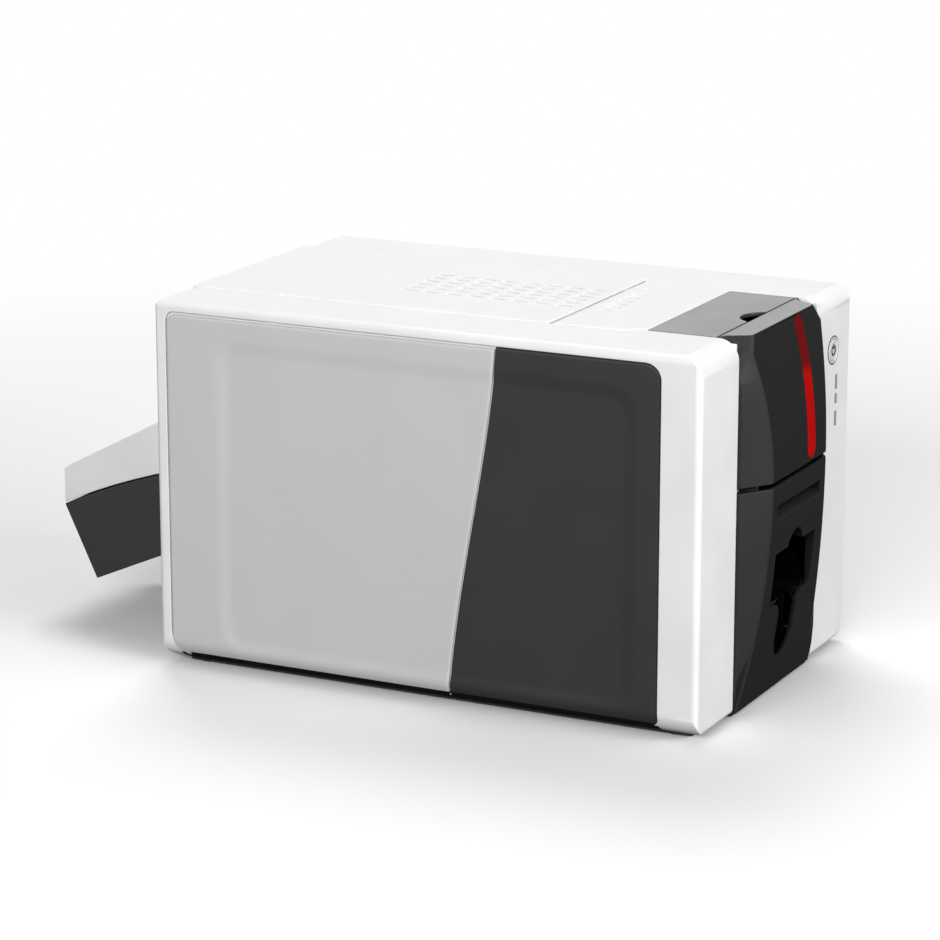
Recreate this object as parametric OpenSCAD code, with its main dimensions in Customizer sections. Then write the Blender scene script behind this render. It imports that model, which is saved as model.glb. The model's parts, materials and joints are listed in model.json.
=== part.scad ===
// Desktop card printer with a hinged lid, a ribbon bay and a rear card feeder.
// Working frame: x = 0 on the middle plane, y = 0 at the side shells' front face
// with +y to the rear, z = 0 at the shells' underside. place() moves it to the part's frame.

/* [Housing] */
// Width over the two side shells
body_w = 205; // [196:1:216]
// Length of the side shells, front to rear
body_l = 310; // [308:1:322]
// Height of the side shells, without the feet
body_h = 195; // [195:0.5:199]
// Wall of the plastic mouldings
wall = 2.2; // [1.8:0.1:2.6]
// Clear width between the side shells at the front
bay_w = 109.4; // [108:0.2:112]
// Clear width between the side shells at the rear cover
rear_bay_w = 123.2; // [122:0.2:125]
// Radius of the shells' upright outer edges
edge_r = 3.5; // [2.5:0.5:6]
// Radius of the shells' lower outer edges
bottom_edge_r = 12; // [10:0.5:14]
// Radius of the shells' top front corner, seen from the side
top_front_r = 11; // [6:1:14]
// Radius of the shells' bottom rear corner, seen from the side
bottom_rear_r = 12; // [6:1:14]
// Visible gap between neighbouring mouldings
seam = 0.4; // [0.2:0.1:0.6]
// Height of a rubber foot below the shells
foot_drop = 3; // [2:0.5:5]
// Radius of a rubber foot
foot_r = 8; // [6:0.5:10]

/* [Side panels] */
// Width of the frame strip in front of the side panels
panel_front = 21.5; // [18:0.5:26]
// Width of the frame strip behind the side panels
panel_rear = 7; // [6:0.5:10]
// Height of the frame strip above the side panels
panel_top = 5; // [4:0.5:8]
// Height of the frame strip below the side panels
panel_bottom = 4; // [3:0.5:6]
// Thickness of a side panel
panel_t = 2.2; // [1.8:0.1:2.6]
// Depth of the shallow field in a side panel
panel_dish = 0.8; // [0.4:0.1:1.2]
// Place of the two-tone joint at the top edge, from the front
joint_top_y = 111.9; // [100:1:120]
// How far the two-tone joint runs back on its way down
joint_run = 26.5; // [15:0.5:32]
// Height of the dark slot above the rear panel
panel_slot = 1.5; // [1:0.1:2]

/* [Lid] */
// Place of the hinge axis behind the front face
hinge_y = 97.5; // [97:0.5:100]
// Radius of the lid's hinge roll
hinge_roll_r = 4.5; // [4:0.1:4.8]
// Radius of the hinge pins
pin_r = 1.5; // [1.2:0.1:1.8]
// Height of the lid's lower edge
lid_bottom_z = 118.3; // [117.5:0.1:119.5]
// Gap between the lid and the lower fascia
lid_gap = 2.5; // [1.5:0.1:3.5]
// Place of the crease behind the lid's front cap
crease_y = 12.7; // [12:0.1:13.5]
// Place of the joint between the dark and the pale part of the lid
tone_y = 50; // [46:1:56]
// How far the pale covers stand above the shells
cover_rise = 0.5; // [0:0.1:0.8]
// Width of the finger well
well_w = 26; // [20:1:30]
// Depth of the finger well, front to rear
well_d = 8.5; // [6:0.5:10]
// How far the front face bulges out
bulge = 12.5; // [10:0.5:14]
// Width of the red strip
strip_w = 10.5; // [9:0.5:12]
// Thickness of the red strip
strip_t = 0.8; // [0.5:0.1:1.2]

/* [Front openings] */
// Width of the card slot
slot_w = 60; // [57:0.5:62]
// Height of the card slot
slot_h = 5; // [4.6:0.1:5.6]
// Width of the output opening
out_w = 55; // [55:0.5:58]
// Height of the output opening's floor
out_floor_z = 49.5; // [48:0.5:52]
// Height of the output opening's ceiling
out_top_z = 78.6; // [76:0.2:80]
// Radius of the thumb notch in the output opening
thumb_r = 12; // [9:0.5:13]
// Height of the thumb notch's lowest point
thumb_z = 17; // [15:0.5:24]

/* [Cards and rollers] */
// Height of the card path
path_z = 103; // [102.5:0.1:103.5]
// Length of a card
card_l = 85.6; // [85.6:0.1:86]
// Width of a card
card_w = 54; // [53.5:0.1:54.5]
// Thickness of a card
card_t = 0.76; // [0.5:0.02:0.8]
// Radius of the driven rollers
roller_r = 6; // [5.5:0.1:6.2]
// Radius of the driven rollers' shafts
shaft_r = 2.5; // [2:0.1:2.8]
// Running clearance of a shaft in its bush
shaft_fit = 0.05; // [0.02:0.01:0.1]
// Radius of the pick roller
pick_r = 8; // [7.5:0.1:8.2]
// Radius of the large belt pulleys
pulley_r = 9; // [8:0.5:9.5]
// Radius of the small belt pulleys
small_pulley_r = 4.2; // [4:0.1:4.6]

/* [Ribbon] */
// Width of the ribbon film
ribbon_w = 56; // [54:0.5:57]
// Radius of the full supply roll
supply_r = 16; // [12:0.5:17]
// Radius of the used film on the take-up roll
takeup_r = 10; // [7:0.5:10]
// Thickness of the film's solid
film_t = 0.25; // [0.2:0.05:0.3]
// Teeth of the take-up gear
takeup_teeth = 20; // [18:1:20]
// Teeth of the ribbon motor's pinion
pinion_teeth = 12; // [12:1:13]

/* [Rear feeder] */
// Width of the rear feeder
feeder_w = 72; // [70:1:78]
// Length of the feeder's floor behind the rear panel
feeder_l = 89; // [88:0.5:96]
// Angle at which the feeder hangs down
feeder_tilt = 23.65; // [22:0.1:25]
// Height at which the feeder's floor meets the rear panel
feeder_z = 52; // [50:0.5:54]
// Depth of the feeder's lower half at its rear
feeder_d = 45.5; // [42:0.5:48]

/* [Frame] */
// Distance from the middle to a frame plate's inner face
plate_x = 36; // [35.5:0.1:36.2]
// Thickness of the steel frame plates
plate_t = 1.5; // [1:0.1:1.8]

/* [Hidden] */
$fn = 48;

half_w = body_w / 2;
half_bay = bay_w / 2;
half_rear = rear_bay_w / 2;
shell_w = half_w - half_bay;
feeder_reach = feeder_l * cos(feeder_tilt) + feeder_d * sin(feeder_tilt) + 1.7;
front_to_centre = (body_l + feeder_reach - bulge) / 2;
eps = 0.01;

white = [0.90, 0.90, 0.90];
pale = [0.74, 0.74, 0.75];
dark = [0.23, 0.23, 0.23];
black = [0.06, 0.06, 0.06];
steel = [0.62, 0.63, 0.65];

// ---- shared shapes ----

// Moves a piece from the working frame to the part's frame.
module place() { translate([0, -front_to_centre, foot_drop]) children(); }

// Extrudes a (y, z) outline from x0 to x1.
module side_slab(x0, x1) { translate([x0, 0, 0]) rotate([90, 0, 90]) linear_extrude(x1 - x0) children(); }

// Extrudes an (x, z) outline from y0 to y1.
module front_slab(y0, y1) { translate([0, y1, 0]) rotate([90, 0, 0]) linear_extrude(y1 - y0) children(); }

// Extrudes an (x, y) outline from z0 to z1.
module flat_slab(z0, z1) { translate([0, 0, z0]) linear_extrude(z1 - z0) children(); }

// Box given by its two corners.
module block(a, b) { translate(a) cube(b - a); }

// Shaft along x.
module rod(x0, x1, at, r) { translate([x0, at[0], at[1]]) rotate([0, 90, 0]) cylinder(r = r, h = x1 - x0); }

// Pair of like pieces, one on each side of the middle plane.
module both_sides() { children(); mirror([1, 0, 0]) children(); }

// Waste piece that rounds the corner of an outline. turn is the corner's quarter turn.
module corner_waste(at, r, turn) {
    translate(at) rotate(turn) difference() {
        translate([-1, -1]) square(r + 1);
        translate([r, r]) circle(r);
    }
}

// Rectangle with a radius of its own at each corner:
// r = [low left, low right, top right, top left].
module rounded_box(a, b, r) {
    difference() {
        translate(a) square(b - a);
        if (r[0] > 0) corner_waste(a, r[0], 0);
        if (r[1] > 0) corner_waste([b[0], a[1]], r[1], 90);
        if (r[2] > 0) corner_waste(b, r[2], 180);
        if (r[3] > 0) corner_waste([a[0], b[1]], r[3], 270);
    }
}

// ---- side shells ----

side_skin = 2;                       // wall behind a side panel
side_bottom_r = 3;
top_edge_r = 4;
jog_y0 = tone_y + 2;                 // the clear width grows between these two places
jog_y1 = tone_y + 14;
cheek_z = 126;                       // lower edge of the shell's inner cheek
ledge_t = 2.2;
cover_t = 2.4;
cover_top = body_h + cover_rise;
cover_under = cover_top - cover_t;
foot_places = [[half_w - bottom_edge_r - 9, 18], [half_w - bottom_edge_r - 9, body_l - 20]];
screw_places = [[half_w - bottom_edge_r - 12, 40], [half_w - bottom_edge_r - 12, body_l - 40]];
screw_r = 1.45;
screw_fit = 0.05;
button_x = half_bay + 0.454 * shell_w;
button_z = body_h - 31.5;
button_r = 5.6;
button_fit = 0.15;
ring_r = 7.25;
lens_x = half_bay + 0.582 * shell_w;
lens_places = [[body_h - 50, 8], [body_h - 59, 5.5], [body_h - 70, 8]];
lens_w = 3;

// Outline of a shell from the side, drawn in by the given inset.
module shell_side_outline(inset) {
    rounded_box([inset, inset], [body_l - inset, body_h - inset],
        [side_bottom_r, bottom_rear_r, side_bottom_r + 1, top_front_r] - [1, 1, 1, 1] * inset * 0.8);
}

// Solid left side, before it is hollowed. side is the inset from the outer face.
module shell_solid(inset, side) {
    intersection() {
        side_slab(-half_w + side, -half_bay + 20) shell_side_outline(inset);
        flat_slab(-1, body_h + 1) rounded_box([-half_w + side, inset], [-half_bay + 20, body_l - inset],
            [edge_r - inset, 0, 0, edge_r - inset]);
        front_slab(-1, body_l + 1) rounded_box([-half_w + side, inset], [-half_bay + 20, body_h - inset],
            [bottom_edge_r - inset / 2, 0, 0, top_edge_r - inset]);
    }
}

// Part of a side panel's outline that lies between two depths below the shell's outer face.
module panel_slab(t0, t1) {
    intersection() {
        side_slab(-half_w - 1, -half_w + 20) children();
        front_slab(-1, body_l + 1) difference() {
            rounded_box([-half_w + t0, t0], [0, body_h + 9], [bottom_edge_r - t0, 0, 0, 0]);
            rounded_box([-half_w + t1, t1], [1, body_h + 10], [bottom_edge_r - t1, 0, 0, 0]);
        }
    }
}

// Plan of the space between the shells, widened for the rear covers. grow moves its edge out.
module bay_plan(grow) {
    both_sides() polygon([[-eps, -30], [half_bay + grow, -30], [half_bay + grow, jog_y0],
        [half_rear + grow, jog_y1], [half_rear + grow, body_l + 30], [-eps, body_l + 30]]);
}

// Outline of the pocket that holds the two side panels. gap draws it in.
module panel_outline(gap) {
    rounded_box([panel_front + gap, panel_bottom + gap], [body_l - panel_rear - gap,
        body_h - panel_top - gap],
        [4, bottom_rear_r, 5, 8.5] - [1, 1, 1, 1] * gap);
}

module side_shell() {
    difference() {
        union() {
            difference() {
                shell_solid(0, 0);
                shell_solid(wall, panel_t + side_skin);
                flat_slab(-1, body_h + 1) bay_plan(0);
            }
            // inner cheek beside the ribbon bay
            flat_slab(cheek_z, body_h - wall + eps) difference() {
                bay_plan(wall);
                bay_plan(0);
                translate([-half_w, -40]) square([body_w, 41.2]);
                translate([-half_w, hinge_y + hinge_roll_r]) square([body_w, body_l]);
                translate([0, -40]) square([body_w, body_l + 80]);
            }
            // ledge that carries the rear cover
            block([-half_rear - wall, hinge_y + hinge_roll_r + 2, cover_under - ledge_t],
                [-half_rear + 3, body_l - wall - 1.5, cover_under]);
            block([-half_rear - wall, hinge_y + hinge_roll_r + 2, cover_under - ledge_t],
                [-half_rear - eps, body_l - wall - 1.5, body_h - wall + eps]);
        }
        panel_slab(-1, panel_t) panel_outline(0);
        for (p = screw_places) translate([-p[0], p[1], -1]) cylinder(r = screw_r + screw_fit, h = wall + 2);
    }
}

module left_side_shell() { color(white) place() side_shell(); }

module right_side_shell() {
    color(white) place() {
        difference() {
            union() {
                mirror([1, 0, 0]) side_shell();
                // posts that hold the control board
                for (p = board_posts) translate([p[0], wall - eps, p[1]])
                    rotate([-90, 0, 0]) cylinder(r = 2.2, h = control_board_y - wall + eps);
                // ring round the control button
                translate([button_x, 0.2, button_z]) rotate([90, 0, 0]) difference() {
                    cylinder(r = ring_r, h = 0.6);
                    translate([0, 0, -1]) cylinder(r = ring_r - 1.1, h = 3);
                }
            }
            translate([button_x, wall + 1, button_z]) rotate([90, 0, 0])
                cylinder(r = button_r + button_fit, h = wall + 3);
            for (p = lens_places) block([lens_x - lens_w / 2, -1, p[0] - p[1] / 2],
                [lens_x + lens_w / 2, wall + 1, p[0] + p[1] / 2]);
        }
    }
}

// ---- side panels ----

joint_z0 = panel_bottom;
joint_z1 = body_h - panel_top;
// Place of the two-tone joint at height z: half straight line, half smooth step.
function joint_y(z) = let (t = (joint_z1 - z) / (joint_z1 - joint_z0))
    joint_top_y + joint_run * (0.5 * t + 0.5 * (3 * t * t - 2 * t * t * t));
joint_steps = 14;
joint_curve = [for (i = [0:joint_steps]) let (z = joint_z0 + (joint_z1 - joint_z0) * i / joint_steps)
    [joint_y(z), z]];
tab_places = [142, 181];
tab_w = 3;
dish_in = [16, 8, 33, 15.7];         // dished field, in from the pocket: front, bottom, rear, top

// Area in front of the two-tone joint; shift moves its edge.
module front_area(shift) {
    polygon(concat([[0, joint_z1 + 5], [0, joint_z0 - 5], [joint_curve[0][0] + shift, joint_z0 - 5]],
        [for (p = joint_curve) p + [shift, 0]], [[joint_curve[joint_steps][0] + shift, joint_z1 + 5]]));
}

module dish_field() {
    rounded_box([panel_front + dish_in[0], panel_bottom + dish_in[1]],
        [body_l - panel_rear - dish_in[2], body_h - panel_top - dish_in[3]], [8, 10, 8, 8]);
}

module front_side_panel() {
    difference() {
        panel_slab(0.3, panel_t) intersection() {
            panel_outline(seam);
            front_area(-seam / 2);
        }
        side_slab(-half_w - 1, -half_w + 0.3 + panel_dish) dish_field();
    }
}

module rear_side_panel() {
    difference() {
        panel_slab(0, panel_t) difference() {
            panel_outline(seam);
            front_area(seam / 2);
            difference() {
                translate([0, joint_z1 - panel_slot]) square([body_l - panel_rear - 3.5, 10]);
                for (t = tab_places) translate([t - tab_w / 2, joint_z1 - 10]) square([tab_w, 20]);
            }
        }
        side_slab(-half_w - 1, -half_w + panel_dish) dish_field();
    }
}

module left_front_side_panel() { color(dark) place() front_side_panel(); }
module left_rear_side_panel() { color(pale) place() rear_side_panel(); }
module right_front_side_panel() { color(dark) place() mirror([1, 0, 0]) front_side_panel(); }
module right_rear_side_panel() { color(pale) place() mirror([1, 0, 0]) rear_side_panel(); }

// ---- rear covers ----

vent_pitch = 8.6;
vent_w = 3.2;
vent_cols = 6;
vent_rows = 8;
vent_row_pitch = 12.8;
vent_l = 10;
cover_y0 = hinge_y + hinge_roll_r + seam;

module slot_plan(at, size) {
    translate([at[0] - size[0] / 2, at[1]]) rounded_box([0, 0], size, [1, 1, 1, 1] * min(size[0] * 0.45,
        2));
}

module rear_top_cover() {
    color(white) place() difference() {
        union() {
            flat_slab(cover_under, cover_top) translate([-half_rear + seam / 2, cover_y0])
                square([rear_bay_w - seam, body_l - cover_y0]);
            // stiffening rails under the cover, against the ledges
            both_sides() block([half_rear - wall - 4.5, cover_y0 + 4, cover_under - 5],
                [half_rear - 3.2, body_l - 6, cover_under + eps]);
        }
        for (i = [0:vent_cols - 1], j = [0:vent_rows - 1]) flat_slab(cover_under - 1, cover_top + 1)
            slot_plan([(i - (vent_cols - 1) / 2) * vent_pitch, cover_y0 + 4.5 + j * vent_row_pitch],
                [vent_w, vent_l]);
    }
}

panel_y0 = body_l - wall - 0.2;
port_z = 19;
port_places = [-26, -7, 11, 27];     // power inlet, switch, two data ports
feeder_hole = [33, 51, 116];         // half width, low and high edge of the opening

module rear_panel() {
    color(pale) place() difference() {
        block([-half_rear + seam / 2, panel_y0, wall + 0.2], [half_rear - seam / 2, body_l, cover_under]);
        block([-feeder_hole[0], panel_y0 - 1, feeder_hole[1]], [feeder_hole[0], body_l + 1,
            feeder_hole[2]]);
        // hollow for the pick roller
        rod(-pick_half - 1, pick_half + 1, pick_place, pick_r + 0.6);
        block([port_places[0] - 7.1, panel_y0 - 1, port_z - 6.1], [port_places[0] + 7.1, body_l + 1,
            port_z + 6.1]);
        block([port_places[1] - 7.1, panel_y0 - 1, port_z - 6.1], [port_places[1] + 7.1, body_l + 1,
            port_z + 6.1]);
        block([port_places[2] - 6.1, panel_y0 - 1, port_z - 5.6], [port_places[2] + 6.1, body_l + 1,
            port_z + 5.6]);
        block([port_places[3] - 8.1, panel_y0 - 1, port_z - 6.8], [port_places[3] + 8.1, body_l + 1,
            port_z + 6.8]);
        // slot for a security lock
        block([-half_rear + 8, panel_y0 - 1, 20], [-half_rear + 15, body_l + 1, 23]);
        // cooling slots above the feeder
        for (i = [-5:5]) block([i * 8 - 1.5, panel_y0 - 1, body_h - 45],
            [i * 8 + 1.5, body_l + 1, body_h - 19]);
    }
}

// ---- base ----

tray_z0 = wall;
tray_t = 2;
tray_top = tray_z0 + tray_t;
plinth = foot_drop - 0.8;            // depth of the plinth below the shells
board_z = tray_top + 6;
main_board_box = [[-34, 150], [34, panel_y0 - 2]];
standoff_places = [[29, 156], [29, panel_y0 - 30]];

module base_tray() {
    tray_half = half_w - bottom_edge_r - 4;
    tray_y0 = fascia_back + seam;
    color(dark) place() difference() {
        union() {
            // floor on the shells' undersides, core between the shells and plinth below them
            block([-tray_half, tray_y0, tray_z0], [tray_half, body_l - bottom_rear_r - 3, tray_top]);
            block([-half_bay + 0.4, tray_y0, -plinth], [half_bay - 0.4, panel_y0 - 0.2, tray_top]);
            block([-half_w + bottom_edge_r, tray_y0, -plinth], [half_w - bottom_edge_r,
                body_l - bottom_rear_r, 0]);
            // bosses for the case screws and stand-offs for the main board
            both_sides() for (p = screw_places) translate([p[0], p[1], tray_z0]) cylinder(r = 3.5, h = 8);
            both_sides() for (p = standoff_places) translate([p[0], p[1], tray_z0])
                cylinder(r = 3, h = board_z - tray_z0);
            // stiffening ribs along the sides
            both_sides() block([62, 30, tray_z0], [64, panel_y0 - 20, tray_top + 5]);
        }
        both_sides() for (p = screw_places) translate([p[0], p[1], -3]) {
            cylinder(r = screw_r + screw_fit, h = 15);
            cylinder(r = 3.2, h = 3);
        }
        both_sides() for (p = foot_places) translate([p[0], p[1], -3]) cylinder(r = foot_r + 0.2, h = 3);
    }
}

module rubber_feet() {
    color(black) place() both_sides() for (p = foot_places) translate([p[0], p[1], -foot_drop])
        difference() {
            union() {
                cylinder(r = foot_r, h = foot_drop - 1);
                cylinder(r = foot_r - 1, h = foot_drop);
            }
            translate([0, 0, -eps]) cylinder(r = foot_r - 4, h = 0.6);
        }
}

module case_screws() {
    color(steel) place() both_sides() for (p = screw_places) translate([p[0], p[1], -1.6]) difference() {
        union() {
            cylinder(r = 2.8, h = 1.6);
            cylinder(r = screw_r, h = 9);
        }
        translate([-0.5, -2, -1]) cube([1, 4, 1.8]);
        translate([-2, -0.5, -1]) cube([4, 1, 1.8]);
    }
}

// ---- front mouldings ----

crest_z = 118;                       // height at which the front bulges most
side_x = half_bay - 0.6;             // outer face of the front mouldings' side skirts
side_y = -1.5;                       // where the flanks meet the shells
// How far the front face stands out at height z.
function front_d(z) = bulge - pow(crest_z - z, 2) / (z < crest_z ? 1076 : 550);
// Half width of the flat front face at height z.
function face_w(z) = z < crest_z ? 37.5 + 0.00078 * pow(crest_z - z, 2)
    : min(37.7 + 0.0021 * pow(z - crest_z, 2), 41.6 + 0.68 * (body_h - 0.5 - z));
// Blend that draws the flanks back below the top.
function top_pull(z) = pow(max(0, z - (body_h - 30)) / 30, 2);
function flank_y(z) = max(side_y, 0.5 - front_d(z)) + 11.5 * top_pull(z);
function flank_x(z) = side_x - 0.4 - 5.1 * top_pull(z);

// Plan of the front moulding at height z, drawn in by t, back to y = yb.
function front_ring(z, t, yb) = let (w = face_w(z) - t * 0.6, d = front_d(z) - t, fx = flank_x(z) - t,
        fy = flank_y(z) + t * 0.45, sx = side_x - t, sy = min(fy + 1.5, yb - 0.1))
    [[-sx, yb], [-sx, sy], [-fx, fy], [-w - 1.1, 0.8 - d], [-w + 1.3, -d],
        [w - 1.3, -d], [w + 1.1, 0.8 - d], [fx, fy], [sx, sy], [sx, yb]];

// Solid lofted through the plans at the heights zs.
module front_loft(zs, t, yb) {
    n = 10;
    last = len(zs) - 1;
    points = [for (z = zs) each [for (p = front_ring(z, t, yb)) [p[0], p[1], z]]];
    sides = [for (i = [0:last - 1], j = [0:n - 1]) each
        [[i * n + j, (i + 1) * n + j, (i + 1) * n + (j + 1) % n], [i * n + j, (i + 1) * n + (j + 1) % n,
            i * n + (j + 1) % n]]];
    caps = [[for (j = [0:n - 1]) j], [for (j = [n - 1:-1:0]) last * n + j]];
    polyhedron(points, concat(sides, caps));
}

// Front moulding between the heights z0 and z1, with a flat back at yb and flat ends.
module front_solid(zs, t, yb, z0, z1) {
    intersection() {
        front_loft(zs, t, yb + 4);
        block([-half_w, -30, z0], [half_w, yb, z1]);
    }
}

lid_back = crease_y - 0.3;
lid_zs = concat([for (i = [-1:10]) lid_bottom_z + (body_h - 9 - lid_bottom_z) * i / 10],
    [body_h - 6, body_h - 3.5, body_h - 1.5, body_h + 2, body_h + 5]);
lid_wall = wall;
strip_top = [17.8, body_h - 6];
strip_bottom = [16.4, lid_bottom_z + 7];

// Outline of the red strip, seen from the front: two round ends and a straight band.
module strip_outline(grow) {
    run = strip_top - strip_bottom;
    length = norm(run);
    translate(strip_bottom) rotate(atan2(run[1], run[0])) {
        translate([0, -strip_w / 2 - grow]) square([length, strip_w + 2 * grow]);
        circle(strip_w / 2 + grow);
        translate([length, 0]) circle(strip_w / 2 + grow);
    }
}

module lid_front_cover() {
    color(dark) place() difference() {
        front_solid(lid_zs, 0, lid_back, lid_bottom_z, body_h);
        front_solid(lid_zs, lid_wall, lid_back + 2, lid_bottom_z - 3, body_h - lid_wall);
        // room beside the ribbon gear and its motor
        both_sides() block([44, 1.2, lid_bottom_z - 1], [side_x + 1, lid_back + 1, cheek_z + 2]);
        difference() {
            front_slab(-30, 4) strip_outline(0.05);
            front_loft(lid_zs, strip_t, lid_back);
        }
    }
}

module lid_accent_strip() {
    color([0.68, 0.08, 0.08]) place() intersection() {
        front_slab(-30, 4) strip_outline(0);
        difference() {
            front_solid(lid_zs, 0.02, lid_back, lid_bottom_z, body_h);
            front_solid(lid_zs, strip_t, lid_back + 5, lid_bottom_z - 2, body_h + 2);
        }
    }
}

fascia_top = lid_bottom_z - lid_gap;
fascia_zs = [for (i = [-1:13]) -2 + (fascia_top + 2) * i / 12];
fascia_wall = 2.4;
fascia_back = 7;
slot_z = path_z + 2;                 // upper edge of the card slot
shoulder_r = 8;

// Output opening from the front: card window, raised finger bump and thumb notch with fillets.
module output_outline(grow) {
    rounded_box([-out_w / 2 - grow, out_floor_z - grow], [out_w / 2 + grow, out_top_z + grow], [1, 1, 1,
        1] * 2);
    intersection() {
        translate([0, out_top_z - 3.6]) circle(11 + grow);
        translate([-20, out_top_z - 1]) square([40, 20]);
    }
    translate([0, thumb_z + thumb_r]) circle(thumb_r + grow);
    difference() {
        translate([-thumb_r - shoulder_r - grow, thumb_z + thumb_r])
            square([2 * (thumb_r + shoulder_r + grow), out_floor_z - thumb_z - thumb_r + 0.5]);
        both_sides() {
            translate([thumb_r + shoulder_r, out_floor_z - shoulder_r]) circle(shoulder_r - grow);
            translate([thumb_r + grow, thumb_z]) square([40, out_floor_z - shoulder_r - thumb_z]);
        }
    }
}

module lower_front_fascia() {
    color(dark) place() difference() {
        union() {
            difference() {
                front_solid(fascia_zs, 0, fascia_back, -2, fascia_top);
                front_solid(fascia_zs, fascia_wall, fascia_back + 2, -5, fascia_top + 3);
            }
            // collar behind the output opening and shelf behind the card slot
            intersection() {
                front_loft(fascia_zs, 0.1, fascia_back);
                union() {
                    front_slab(-12, -5.4) output_outline(2.2);
                    block([-slot_w / 2 - 3, -12, slot_z - slot_h - 2], [slot_w / 2 + 3, -5, slot_z + 2]);
                }
            }
        }
        front_slab(-30, 20) output_outline(0);
        // room beside the ribbon motor
        both_sides() block([44, 1.2, fascia_top - 14], [side_x + 1, fascia_back + 1, fascia_top + 1]);
        block([-slot_w / 2, -30, slot_z - slot_h], [slot_w / 2, 20, slot_z]);
        // lead-in below the slot
        side_slab(-slot_w / 2, slot_w / 2) polygon([[-20, slot_z - slot_h - 5], [-bulge + 0.3,
            slot_z - slot_h - 2.5],
            [-bulge + 4.5, slot_z - slot_h], [-20, slot_z - slot_h + 1]]);
    }
}

// ---- output hopper ----

hopper_in = out_w / 2 + 0.7;         // inner half width
hopper_t = 2;
hopper_floor = out_floor_z - 0.4;
hopper_front = -4.8;
hopper_back = hopper_front + card_l + 3;
hopper_top = out_top_z + 4;
notch_in = thumb_r + 0.6;
notch_run = 34;
ramp_end = [150, path_z - 12];
ramp_start = [hopper_back, out_floor_z + 12];

module output_hopper() {
    color(black) place() {
        difference() {
            union() {
                block([-hopper_in - hopper_t, hopper_front, hopper_floor - hopper_t],
                    [hopper_in + hopper_t, hopper_back + hopper_t, hopper_top]);
                // walls and sloping floor of the thumb notch
                side_slab(-notch_in - hopper_t, notch_in + hopper_t) polygon([[0.4, thumb_z - 2.4],
                    [notch_run + 4, hopper_floor - hopper_t + 0.5], [0.4, hopper_floor - hopper_t + 0.5]]);
            }
            block([-hopper_in, hopper_front - 1, hopper_floor], [hopper_in, hopper_back, hopper_top + 1]);
            side_slab(-notch_in, notch_in) polygon([[-8, thumb_z - 0.4], [0.4, thumb_z - 0.4],
                [notch_run, hopper_floor - hopper_t], [notch_run, hopper_floor + 1], [-8,
                    hopper_floor + 1]]);
            block([-hopper_in, hopper_back - 1, ramp_start[1]], [hopper_in, hopper_back + 5,
                hopper_top + 1]);
        }
        // ramp that leads finished cards into the hopper
        side_slab(-hopper_in, hopper_in) polygon([ramp_start + [hopper_t, -2], ramp_end + [0, -2], ramp_end,
            ramp_start + [hopper_t, 0]]);
        both_sides() side_slab(hopper_in, hopper_in + hopper_t) polygon([ramp_start + [hopper_t, -2],
            ramp_end + [0, -2], ramp_end + [0, 3], ramp_start + [hopper_t, 14]]);
    }
}

// ---- card path ----

tilt = feeder_tilt;
path_dir = [cos(tilt), -sin(tilt)];  // towards the rear and down
path_up = [sin(tilt), cos(tilt)];
floor_n = 3.3;                       // height of the card stack's floor in the feeder's own frame
feeder_origin = [body_l, feeder_z];
// Point of the (y, z) plane from the feeder's own frame.
function feeder_point(u, n) = feeder_origin + u * path_dir + n * path_up;
pick_u = -9;
pick_place = feeder_point(pick_u, floor_n - pick_r + 0.3);
bend_r = 150;
ramp_ref = feeder_point(0, floor_n);
// Place where the sloping path would meet the level path.
bend_y = ramp_ref[0] - (path_z - ramp_ref[1]) / tan(tilt);
bend_run = bend_r * tan(tilt / 2);
// Point of the card path s mm behind the bend's start, moved up by n.
function bend_point(a, n) = [bend_y - bend_run, path_z - bend_r] + (bend_r + n) * [sin(a), cos(a)];
function slope_point(s, n) = bend_point(tilt, n) + s * path_dir;
nip = card_t / 2 + 0.02;
below = roller_r + nip;
front_roller_y = 24;
platen_y = 62;
middle_roller_y = 96;
rear_roller_y = 165;
entry_s = 5;                         // entry roller, measured down the slope
pinch_small = 3;
pinch_large = 4;
cleaning_r = 6;
pinch_shaft_r = 1.5;
front_roller = [front_roller_y, path_z - below];
platen = [platen_y, path_z - below];
middle_roller = [middle_roller_y, path_z - below];
rear_roller = [rear_roller_y, path_z - below];
entry_place = slope_point(entry_s, -below);
front_pinch = [front_roller_y, path_z + nip + pinch_small + 0.1];
rear_pinch = [rear_roller_y, path_z + nip + pinch_large + 0.1];
entry_pinch = slope_point(entry_s, nip + pinch_large + 0.1);
cleaning_place = [middle_roller_y, path_z + nip + cleaning_r + 0.1];
driven_places = [front_roller, platen, middle_roller, rear_roller, entry_place, pick_place];
pinch_places = [front_pinch, rear_pinch, entry_pinch];

sleeve_x = card_w / 2 - 1;
bush_r = 4;
bush_flange_r = 5.5;
bush_flange_t = 1.2;
plate_out = plate_x + plate_t;
belt_x = plate_out + 2.4;            // inner edge of the front belt
belt_w = 4.6;
belt_gap = 0.2;                      // between belt and pulley flange
flange_t = 1;
pulley_w = belt_w + 2 * belt_gap;
rear_belt_x = belt_x + pulley_w + 2 * flange_t + 1;
belt_t = 1.2;
belt_fit = 0.3;
shaft_left = plate_out + bush_flange_t + 1;

// Belt pulley on a shaft: hub between two flanges.
module pulley(x, at, r) {
    rod(x - flange_t, x, at, r + 1.6);
    rod(x - eps, x + pulley_w + eps, at, r);
    rod(x + pulley_w, x + pulley_w + flange_t, at, r + 1.6);
}

// Roller with its shaft, sleeve and one pulley.
module driven_roller(at, r, half, pulley_x, pr) {
    rod(-shaft_left, pulley_x + pulley_w + flange_t + 0.5, at, shaft_r);
    rod(-half, half, at, r);
    pulley(pulley_x, at, pr);
}

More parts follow.
